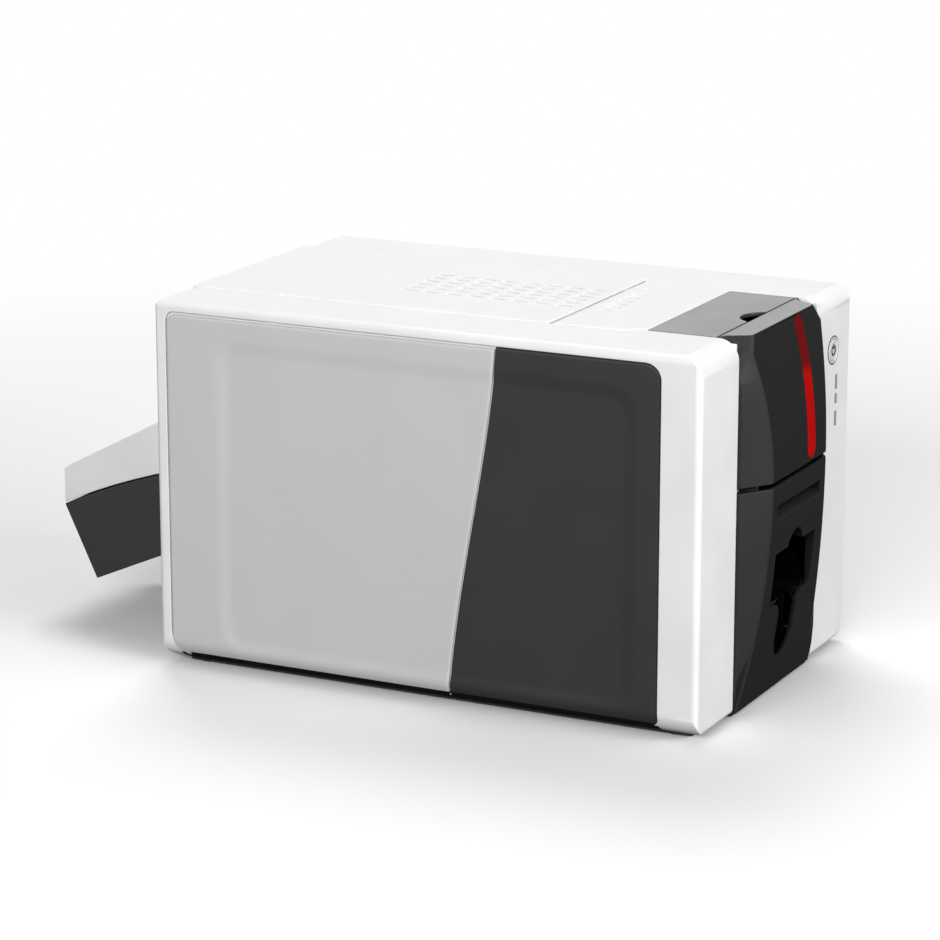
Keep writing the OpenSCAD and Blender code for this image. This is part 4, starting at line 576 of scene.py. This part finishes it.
# ---- Drive ----
# A stepping motor in a black case drives the rollers by two toothed belts of black rubber, on the right
# side of the frame. The ribbon has a small motor of its own.
motor_black = moulded_plastic("motor_black_paint", srgb(40, 40, 43), 0.4, grain=0.4, depth=0.02)
belt_rubber = moulded_plastic("belt_black_rubber", srgb(24, 24, 24), 0.7, grain=0.5, depth=0.03, cloud=0.1)
gear_brass = drawn_metal("gear_brass", srgb(190, 156, 92), 0.32, stretch=(1.0, 1.0, 1.0), scale=1500.0)
low, high = box_mm("motor_pulley")
motor_wheel_radius = 6.0
motor_shaft = turned("motor_shaft", "motor_pulley", "x", middle_of("motor_pulley"),
    shaft_profile(low[0], high[0], 2.5, 0.7), rod_steel)
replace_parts(motor_shaft, "motor_pulley")
turned("motor_belt_pulley", "motor_pulley", "x", middle_of("motor_pulley"),
    pulley_profile(long_belt_x, motor_wheel_radius), gear_brass, around=114, teeth=19, bite=0.6,
    toothed=(long_belt_x + 0.01, long_belt_x + 4.99))
motor_cap = eased("drive_motor", 0.5, motor_black, steps=2)
motor_iron = drawn_metal("motor_laminated_iron", srgb(120, 120, 122), 0.45, stretch=(1.0, 40.0, 40.0),
    scale=2200.0, scratch=0.05)
give_faces(motor_cap, motor_iron, lambda middles, normals: np.abs(normals[:, 0]) < 0.3)


def belt_path(wheels, spread):
    """Edge of the hull of a set of wheels, each given as (y, z, radius) in millimetres, with the radii
    grown by spread. In each direction the wheel that reaches farthest gives the point, and the points are
    then spaced evenly. The number of points is eight to each tooth of about 2.5 mm."""
    tooth = 2.5
    wheels = np.array(wheels, float)
    turn = np.linspace(0.0, 2.0 * np.pi, 4001)[:-1]
    out = np.stack([np.cos(turn), np.sin(turn)], -1)
    reach = out @ wheels[:, :2].T + wheels[:, 2] + spread
    best = reach.argmax(1)
    path = wheels[best, :2] + (wheels[best, 2] + spread)[:, None] * out
    path = np.concatenate([path, path[:1]])
    run = np.concatenate([[0.0], np.cumsum(np.linalg.norm(np.diff(path, axis=0), axis=1))])
    count = int(round(run[-1] / tooth)) * 8
    places = np.linspace(0.0, run[-1], count, endpoint=False)
    return np.stack([np.interp(places, run, path[:, 0]), np.interp(places, run, path[:, 1])], -1)


def toothed_belt(name, x, wheels):
    """Closed belt, 4.6 mm wide. Its outer side lies 1.5 mm off the pulleys, and its inner side carries
    rounded teeth: the depth follows a steep cosine wave with one period to eight points."""
    belt_width = 4.6
    outer = belt_path(wheels, 1.5)
    ahead = np.roll(outer, -1, axis=0) - np.roll(outer, 1, axis=0)
    ahead /= np.linalg.norm(ahead, axis=1)[:, None]
    inward = np.stack([-ahead[:, 1], ahead[:, 0]], -1)
    wave = np.clip(0.5 + 1.2 * np.cos(np.arange(len(outer)) * np.pi / 4.0), 0.0, 1.0)
    inner = outer + inward * (0.6 + 0.8 * wave)[:, None]
    low, high = np.full(len(outer), x), np.full(len(outer), x + belt_width)
    sides = [np.column_stack([low, outer]), np.column_stack([high, outer]), np.column_stack([high, inner]),
        np.column_stack([low, inner])]
    points = np.stack(sides, 1)
    faces = grid_faces(len(outer), 4, close_rows=True, close_columns=True)
    return mesh_piece(name, points / 1000.0, faces, belt_rubber, frame["nodes"]["drive_belts"]["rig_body"],
        crisp=40)


front_wheel, rear_wheel, motor_wheel = (middle_of(n) for n in ("front_transport_roller", "rear_transport_roller",
    "motor_pulley"))
entry_wheel, pick_wheel = middle_of("entry_roller"), middle_of("pick_roller")
long_belt = toothed_belt("long_drive_belt", long_belt_x + 0.2, [(*front_wheel, drum), (*rear_wheel, drum),
    (*motor_wheel, motor_wheel_radius)])
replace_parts(long_belt, "drive_belts")
rear_belt = toothed_belt("rear_drive_belt", rear_belt_x + 0.2, [(*rear_wheel, small_wheel),
    (*entry_wheel, small_wheel), (*pick_wheel, pick_wheel_radius)])
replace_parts(rear_belt, "drive_belts")
eased("ribbon_motor", 0.2, screw_steel, steps=2)
eased("ribbon_pinion", 0.08, gear_brass, steps=1)

# ---- Ribbon ----
# The colour ribbon runs from the rear spool under the head to the front spool: panels of yellow, magenta
# and cyan dye on clear film, on grey plastic spools.
spool_grey = moulded_plastic("spool_grey_plastic", srgb(84, 84, 88), 0.4)
film_wound = moulded_plastic("film_wound_dye", srgb(150, 96, 20), 0.22, grain=2.0, depth=0.004, cloud=0.1, coat=0.4)
film_used = moulded_plastic("film_used_dye", srgb(66, 30, 62), 0.22, grain=2.0, depth=0.004, cloud=0.1, coat=0.4)


def spool_ends(node, at, flange, end):
    """Journals and flanges of one ribbon spool. Each flange has a beaded rim and a stepped hub."""
    for side, sign in (("left", -1.0), ("right", 1.0)):
        outer = (end[0] if sign < 0 else end[1]) * sign
        line = [(30.0, 0.0), (30.0, flange - 0.4), (30.2, flange), (31.3, flange), (31.5, flange - 0.4),
            (31.5, flange - 1.6), (31.2, flange - 1.9), (31.2, 6.4), (31.5, 6.1), (31.5, 5.0), (31.9, 4.8),
            (31.9, 3.0), (outer - 0.5, 3.0), (outer, 2.5), (outer, 0.0)]
        if sign < 0:
            line = [(-x, r) for x, r in line[::-1]]
        piece = turned("%s_%s_end" % (node, side), node, "x", at, line, spool_grey, around=72)
    return piece


supply_at = middle_of("ribbon_supply_spool")
low, high = box_mm("ribbon_supply_spool")
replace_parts(spool_ends("ribbon_supply_spool", supply_at, 18.0, (low[0], high[0])), "ribbon_supply_spool")
turned("supply_film_roll", "ribbon_supply_spool", "x", supply_at, [(-30.0, 0.0), (-30.0, 5.0), (-28.0, 5.4),
    (-28.0, 15.6), (-27.6, 16.0), (27.6, 16.0), (28.0, 15.6), (28.0, 5.4), (30.0, 5.0), (30.0, 0.0)], film_wound,
    around=96)
takeup_at = (8.5 + front_edge, 127.0 + bottom_edge)
eased("ribbon_takeup_spool", 0.08, spool_grey, steps=1)
turned("takeup_film_roll", "ribbon_takeup_spool", "x", takeup_at, [(-28.2, 0.0), (-28.2, 9.7), (-27.8, 10.1),
    (27.8, 10.1), (28.2, 9.7), (28.2, 0.0)], film_used, around=96)


def touch_point(start, at, radius, turn):
    """Where a straight film from a point touches a roll on its lower side: the line's angle to the roll's
    middle is turned by the arc sine of radius over distance."""
    gap = np.array(at) - np.array(start)
    far = np.hypot(*gap)
    angle = np.arctan2(gap[1], gap[0]) - turn * np.arcsin(radius / far)
    return np.array(start) + np.sqrt(far ** 2 - radius ** 2) * np.array([np.cos(angle), np.sin(angle)])


# The film runs from the front roll under the head to the rear roll. Yellow, magenta, cyan and black
# panels follow each other along it, set by the length run so far.
head_low, head_high = box_mm("print_head")
film_z = head_low[2] - 0.35
film_a, film_b = np.array([head_low[1] - 0.4, film_z]), np.array([head_high[1] + 0.4, film_z])
film_front = touch_point(film_a, takeup_at, 10.3, -1.0)
film_rear = touch_point(film_b, supply_at, 16.3, 1.0)
bends = softened([film_front, film_a, film_b, film_rear], 2.5)
runs = np.concatenate([[0.0], np.cumsum(np.linalg.norm(np.diff(bends, axis=0), axis=1))])
film_rows = 161
places = np.linspace(0.0, runs[-1], film_rows)
path = np.stack([np.interp(places, runs, bends[:, 0]), np.interp(places, runs, bends[:, 1])], -1)
across = np.array([[-28.0, 0.0], [-14.0, 0.0], [0.0, 0.0], [14.0, 0.0], [28.0, 0.0], [28.0, -0.08], [0.0, -0.08],
    [-28.0, -0.08]])
film_points = np.zeros((film_rows, 8, 3))
film_points[:, :, 0] = across[:, 0]
film_points[:, :, 1] = path[:, 0:1]
film_points[:, :, 2] = path[:, 1:2] + across[:, 1]
film_last = film_rows * 8 - 1
film_faces = [f[::-1] for f in grid_faces(film_rows, 8, close_columns=True)]
film_faces += [list(range(8)), list(range(film_last, film_last - 8, -1))]
film_dye = moulded_plastic("film_dye_panels", srgb(200, 170, 30), 0.18, grain=3.0, depth=0.003, cloud=0.02,
    coat=0.5)
dye_tree = film_dye.node_tree
dye_run = dye_tree.nodes.new("ShaderNodeAttribute")
dye_run.attribute_name = "run"
dye_ramp = dye_tree.nodes.new("ShaderNodeValToRGB")
dye_ramp.color_ramp.interpolation = "CONSTANT"
dye_ramp.color_ramp.elements[0].color = srgb(60, 20, 60)
dye_ramp.color_ramp.elements[1].position = 0.12
dye_ramp.color_ramp.elements[1].color = srgb(16, 100, 150)
for place, colour in ((0.4, srgb(160, 20, 90)), (0.68, srgb(214, 178, 24)), (0.96, srgb(24, 22, 24))):
    dye_ramp.color_ramp.elements.new(place).color = colour
dye_tree.links.new(dye_run.outputs["Fac"], dye_ramp.inputs["Fac"])
dye_tree.links.new(dye_ramp.outputs["Color"], dye_tree.nodes["Principled BSDF"].inputs["Base Color"])
film = mesh_piece("ribbon_film_sheet", film_points / 1000.0, film_faces, film_dye,
    frame["nodes"]["ribbon_film"]["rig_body"], crisp=50)
film.data.attributes.new("run", "FLOAT", "POINT").data.foreach_set("value", np.repeat(places / runs[-1], 8))
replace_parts(film, "ribbon_film")

# ---- Lid ----
# The lid is a dark front cover and top panel, a white rear part with a hinge roll, and a black inner
# frame that carries the head. A red translucent strip is set into the front.
lid_satin_and_painted_light = moulded_plastic("lid_top_satin_and_painted_light_abs", srgb(52, 52, 52), 0.3, grain=0.3, depth=0.004, shine=0.62)
lid_front = eased("lid_front_cover", 0.55, front_dark)
# Painted light on the lid cover's flanks, as on the fascia's.
give_faces(lid_front, flank_painted_light, on_flank)
# Painted light: the upward faces of the dark front cover get the lighter satin of the top panel, standing in for
# the light that falls on them.
give_faces(lid_front, lid_satin_and_painted_light, lambda middles, normals: (normals[:, 2] > 0.45) & (middles[:, 2] > 150.0)
    & (np.abs(middles[:, 0]) < 45.0))
eased("lid_top_panel", 0.45, lid_satin_and_painted_light)
eased("lid_rear_cover", 0.4, cover_white, steps=2, weight=100)
eased("lid_inner_frame", 0.25, inner_black, steps=2)
eased("lid_latch", 0.2, inner_black, steps=2)
# Painted shade: the strip's upper part, from 25 mm below its top end, is painted a darker red, blending in over the
# 5 mm below.
strip_red = moulded_plastic("strip_red_acrylic", srgb(174, 12, 12), 0.5, grain=3.0, depth=0.003, shine=0.01)
strip_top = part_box("lid_accent_strip")[1].z
strip_tree = strip_red.node_tree
strip_skin = strip_tree.nodes["Principled BSDF"]
strip_place = strip_tree.nodes.new("ShaderNodeTexCoord")
strip_split = strip_tree.nodes.new("ShaderNodeSeparateXYZ")
strip_fade = strip_tree.nodes.new("ShaderNodeMapRange")
strip_fade.inputs["From Min"].default_value = strip_top - 0.030
strip_fade.inputs["From Max"].default_value = strip_top - 0.025
strip_shade = strip_tree.nodes.new("ShaderNodeMix")
strip_shade.data_type = "RGBA"
strip_bright, strip_painted_shade = strip_shade.inputs[6], strip_shade.inputs[7]
strip_painted_shade.default_value = srgb(104, 14, 14)
strip_tree.links.new(strip_place.outputs["Object"], strip_split.inputs[0])
strip_tree.links.new(strip_split.outputs["Z"], strip_fade.inputs["Value"])
strip_tree.links.new(strip_fade.outputs["Result"], strip_shade.inputs[0])
strip_tree.links.new(strip_skin.inputs["Base Color"].links[0].from_socket, strip_bright)
strip_tree.links.new(strip_shade.outputs[2], strip_skin.inputs["Base Color"])
eased("lid_accent_strip", 0.2, strip_red, steps=2)

# ---- Print head ----
# A glazed ceramic bar is glued to a finned block of extruded aluminium. Two coiled steel springs press it
# down on the platen.
head_ceramic = moulded_plastic("head_glazed_ceramic", srgb(214, 208, 190), 0.2, grain=0.8, depth=0.004, coat=0.4)
sink_aluminium = drawn_metal("sink_extruded_aluminium", srgb(200, 202, 205), 0.32, stretch=(25.0, 1.0, 1.0))
eased("print_head", 0.1, head_ceramic, steps=2)
eased("head_heatsink", 0.15, sink_aluminium, steps=2)


def coil_spring(name, at, low, high, radius, wire, turns):
    """Compression spring with closed ends: the wire's middle runs round a circle, and its height rises one
    wire thickness a turn in the first and last turn and evenly between them."""
    t = np.linspace(0.0, turns, turns * 28 + 1)
    middle = np.clip((t - 1.1) / (turns - 2.2), 0.0, 1.0)
    closed = wire * (np.minimum(t, 1.1) + np.maximum(t - turns + 1.1, 0.0))
    sides = 10
    z = low + wire / 2.0 + closed + middle * (high - low - wire - 2.2 * wire)
    round_ = np.linspace(0.0, 2.0 * np.pi, sides, endpoint=False)
    reach = radius + wire / 2.0 * np.cos(round_)[None, :]
    turn = 2.0 * np.pi * t[:, None]
    points = np.stack([at[0] + reach * np.cos(turn), at[1] + reach * np.sin(turn),
        z[:, None] + wire / 2.0 * np.sin(round_)[None, :] + 0.0 * turn], -1)
    count = len(t) * sides
    faces = [f[::-1] for f in grid_faces(len(t), sides, close_columns=True)]
    faces += [list(range(sides)), list(range(count - 1, count - 1 - sides, -1))]
    return mesh_piece(name, points / 1000.0, faces, rod_steel, frame["nodes"]["head_springs"]["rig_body"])


low, high = box_mm("head_springs")
for side, spring_x in (("left", low[0] + 3.5), ("right", high[0] - 3.5)):
    spring = coil_spring(side + "_head_spring", (spring_x, (low[1] + high[1]) / 2.0), low[2], high[2], 2.95,
        0.9, 8)
    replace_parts(spring, "head_springs")

# ---- Controls and electronics ----
# Green circuit boards with black chips, the pale push button in its ring, three clear lamps, and the
# inlet, switch and sockets that are set in the rear panel.
board_green = moulded_plastic("board_solder_mask", srgb(28, 84, 52), 0.3, grain=1.5, depth=0.02, cloud=0.25,
    coat=0.3)
button_pale = moulded_plastic("button_pale_abs", srgb(214, 214, 216), 0.35)
lens_clear = moulded_plastic("lens_clear_acrylic", srgb(150, 156, 160), 0.12, grain=2.0, depth=0.004, coat=0.5)
chip_black = moulded_plastic("chip_black_epoxy", srgb(30, 30, 32), 0.5, grain=0.6, depth=0.01, cloud=0.08)
trace_tree = board_green.node_tree
trace_cells = trace_tree.nodes.new("ShaderNodeTexVoronoi")
trace_cells.distance = "MANHATTAN"
trace_cells.feature = "F1"
trace_cells.inputs["Scale"].default_value = 420.0
trace_tone = trace_tree.nodes.new("ShaderNodeValToRGB")
trace_tone.color_ramp.elements[0].position = 0.34
trace_tone.color_ramp.elements[0].color = srgb(24, 74, 46)
trace_tone.color_ramp.elements[1].position = 0.42
trace_tone.color_ramp.elements[1].color = srgb(52, 116, 74)
trace_place = trace_tree.nodes.new("ShaderNodeTexCoord")
trace_tree.links.new(trace_place.outputs["Object"], trace_cells.inputs["Vector"])
trace_tree.links.new(trace_cells.outputs["Distance"], trace_tone.inputs["Fac"])
trace_tree.links.new(trace_tone.outputs["Color"], trace_tree.nodes["Principled BSDF"].inputs["Base Color"])
board = eased("main_board", 0.12, board_green, steps=1)
board_bottom = box_mm("main_board")[0][2] - bottom_edge
give_faces(board, chip_black, lambda middles, normals: middles[:, 2] > board_bottom + 1.9)
give_faces(board, sink_aluminium, lambda middles, normals: middles[:, 2] > board_bottom + 8.0)
small_board = eased("control_board", 0.12, board_green, steps=1)
small_back = box_mm("control_board")[1][1] - front_edge
give_faces(small_board, chip_black, lambda middles, normals: middles[:, 1] < small_back - 1.9)

# The push button is a dished disc in a raised charcoal ring, with the usual ring-and-bar sign for power.
button_mark = moulded_plastic("button_mark_grey", srgb(50, 50, 52), 0.5, grain=0.5, depth=0.004)
button_low, button_high = box_mm("control_button")
button_at = ((button_low[2] + button_high[2]) / 2.0, (button_low[0] + button_high[0]) / 2.0)
button_y = button_low[1]
cap_profile = [(button_y + deep, radius) for deep, radius in ((0.35, 0.0), (0.3, 1.6), (0.12, 3.4), (0.0, 4.7),
    (0.1, 5.3), (0.6, 5.6), (3.1, 5.6), (3.1, 7.0), (4.6, 7.0), (4.6, 1.6))]
cap = turned("button_cap", "control_button", "y", button_at, cap_profile + [(button_high[1], 1.6),
    (button_high[1], 0.0)], button_pale, around=72)
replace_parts(cap, "control_button")


def flat_ring(name, node, inner, outer, y0, y1, start, end, finish, around=60):
    """Flat ring or part of one round the button's axis, from the angle start to the angle end in degrees,
    with a rectangular section that is closed at both ends."""
    turn = np.radians(np.linspace(start, end, around + 1))[:, None]
    reach = np.array([[inner, outer, outer, inner]])
    deep = np.array([[y0, y0, y1, y1]])
    points = np.stack([button_at[1] + reach * np.cos(turn), deep + 0.0 * turn,
        button_at[0] + reach * np.sin(turn)], -1)
    count = (around + 1) * 4
    faces = grid_faces(around + 1, 4, close_columns=True) + [[3, 2, 1, 0], list(range(count - 4, count))]
    return mesh_piece(name, points / 1000.0, faces, finish, frame["nodes"][node]["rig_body"], crisp=30)


flat_ring("button_ring", "left_side_shell", 6.2, 7.8, front_edge - 0.35, front_edge + 0.3, 0.0, 359.9,
    button_mark, around=96)
sign_front, sign_back = button_y + 0.02, button_y + 0.5
flat_ring("button_sign_arc", "control_button", 2.0, 3.1, sign_front, sign_back, 125.0, 415.0, button_mark)
bar = np.array([[x, y, z] for x in (-0.55, 0.55) for y in (sign_front, sign_back) for z in (0.6, 3.4)])
bar += np.array([button_at[1], 0.0, button_at[0]])
mesh_piece("button_sign_bar", bar / 1000.0, [[0, 1, 3, 2], [4, 6, 7, 5], [0, 4, 5, 1], [2, 3, 7, 6], [0, 2, 6, 4],
    [1, 5, 7, 3]], button_mark, frame["nodes"]["control_button"]["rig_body"], crisp=30)
eased("status_lenses", 0.25, lens_clear, steps=2)
eased("power_inlet", 0.25, inner_black, steps=2)
eased("power_switch_frame", 0.25, inner_black, steps=2)
eased("power_switch_rocker", 0.25, inner_black, steps=2)
dress("data_ports", screw_steel)

# ---- Rear feeder ----
# A charcoal body takes the stack of blank cards, and a white cover swings up over it. A sprung plate
# weighs the stack down, and an orange slider sets the card's thickness.
feeder_dark = moulded_plastic("feeder_charcoal_abs", srgb(58, 58, 58), 0.5, shine=0.22)
gauge_orange = moulded_plastic("gauge_orange_plastic", srgb(196, 98, 32), 0.4)
eased("feeder_body", 0.5, feeder_dark)
eased("feeder_cover", 0.6, cover_white)
eased("card_pusher", 0.25, inner_black, steps=2)
eased("thickness_gauge", 0.15, gauge_orange, steps=2)

# ---- Studio ----
# A white floor and backdrop under large soft lamps. The floor keeps the printer's own shadow and fades
# to even white away from it.
ground = bpy.data.meshes.new("studio_floor")
ground.from_pydata([(-6, -6, 0), (6, -6, 0), (6, 6, 0), (-6, 6, 0)], [], [(0, 1, 2, 3)])
floor_white = bpy.data.materials.new("studio_floor_white")
floor_white.use_nodes = True
floor_tree = floor_white.node_tree
floor_tree.nodes.clear()
floor_out = floor_tree.nodes.new("ShaderNodeOutputMaterial")
floor_matt = floor_tree.nodes.new("ShaderNodeBsdfDiffuse")
floor_matt.inputs["Color"].default_value = (0.14, 0.14, 0.14, 1.0)
floor_seen = floor_tree.nodes.new("ShaderNodeBsdfDiffuse")
floor_seen.inputs["Color"].default_value = (1.0, 1.0, 1.0, 1.0)
floor_mix = floor_tree.nodes.new("ShaderNodeMixShader")
floor_rays = floor_tree.nodes.new("ShaderNodeLightPath")
floor_place = floor_tree.nodes.new("ShaderNodeTexCoord")
floor_reach = floor_tree.nodes.new("ShaderNodeVectorMath")
floor_reach.operation = "LENGTH"
floor_fade = floor_tree.nodes.new("ShaderNodeMapRange")
floor_fade.interpolation_type = "SMOOTHSTEP"
floor_near, floor_even = 0.55, 1.1
floor_fade.inputs["From Min"].default_value = floor_near
floor_fade.inputs["From Max"].default_value = floor_even
floor_far = floor_tree.nodes.new("ShaderNodeEmission")
floor_blend = floor_tree.nodes.new("ShaderNodeMixShader")
floor_tree.links.new(floor_place.outputs["Object"], floor_reach.inputs[0])
floor_tree.links.new(floor_reach.outputs["Value"], floor_fade.inputs["Value"])
floor_tree.links.new(floor_fade.outputs["Result"], floor_blend.inputs["Fac"])
floor_tree.links.new(floor_seen.outputs[0], floor_blend.inputs[1])
floor_tree.links.new(floor_far.outputs[0], floor_blend.inputs[2])
floor_tree.links.new(floor_rays.outputs["Is Camera Ray"], floor_mix.inputs["Fac"])
floor_tree.links.new(floor_matt.outputs[0], floor_mix.inputs[1])
floor_tree.links.new(floor_blend.outputs[0], floor_mix.inputs[2])
floor_tree.links.new(floor_mix.outputs[0], floor_out.inputs["Surface"])
ground.materials.append(floor_white)
floor = bpy.data.objects.new("studio_floor", ground)
floor.location.z = -0.0002
bpy.context.scene.collection.objects.link(floor)

sky = bpy.data.worlds.new("studio_world")
sky.use_nodes = True
bpy.context.scene.world = sky
sky_tree = sky.node_tree
sky_tree.nodes.clear()
sky_out = sky_tree.nodes.new("ShaderNodeOutputWorld")
sky_light = sky_tree.nodes.new("ShaderNodeBackground")
sky_light.inputs["Strength"].default_value = 0.12
sky_seen = sky_tree.nodes.new("ShaderNodeBackground")
sky_seen.inputs["Color"].default_value = (1.0, 1.0, 1.0, 1.0)
sky_seen.inputs["Strength"].default_value = 1.0
sky_mix = sky_tree.nodes.new("ShaderNodeMixShader")
sky_rays = sky_tree.nodes.new("ShaderNodeLightPath")
sky_gloss = sky_tree.nodes.new("ShaderNodeMath")
sky_gloss.operation = "MAXIMUM"
sky_glass = sky_tree.nodes.new("ShaderNodeMath")
sky_glass.operation = "MAXIMUM"
sky_light.inputs["Color"].default_value = (1.0, 1.0, 1.0, 1.0)
sky_tree.links.new(sky_rays.outputs["Is Camera Ray"], sky_gloss.inputs[0])
sky_tree.links.new(sky_rays.outputs["Is Glossy Ray"], sky_gloss.inputs[1])
sky_tree.links.new(sky_gloss.outputs[0], sky_glass.inputs[0])
sky_tree.links.new(sky_rays.outputs["Is Transmission Ray"], sky_glass.inputs[1])
sky_tree.links.new(sky_glass.outputs[0], sky_mix.inputs["Fac"])
sky_tree.links.new(sky_light.outputs[0], sky_mix.inputs[1])
sky_tree.links.new(sky_seen.outputs[0], sky_mix.inputs[2])
sky_tree.links.new(sky_mix.outputs[0], sky_out.inputs["Surface"])


def soft_lamp(name, place, width, height, power):
    """A rectangular studio lamp that looks at the printer's middle."""
    look = Vector((0.0, 0.0, 0.1)) - Vector(place)
    data = bpy.data.lights.new(name, "AREA")
    data.shape = "RECTANGLE"
    data.size = width
    data.size_y = height
    data.energy = power
    lamp = bpy.data.objects.new(name, data)
    lamp.matrix_world = Matrix.Translation(place) @ look.to_track_quat("-Z", "Y").to_matrix().to_4x4()
    bpy.context.scene.collection.objects.link(lamp)


soft_lamp("lamp_above", (1.0, 0.6, 2.0), 1.0, 1.0, 22.0)
soft_lamp("lamp_left", (-2.8, -0.4, 1.25), 1.8, 0.7, 67.0)
soft_lamp("lamp_front", (-0.4, -2.8, 0.95), 1.8, 0.7, 67.0)
soft_lamp("lamp_rear", (2.4, 1.4, 0.9), 2.4, 1.6, 6.0)
bpy.context.scene.view_settings.view_transform = "Standard"
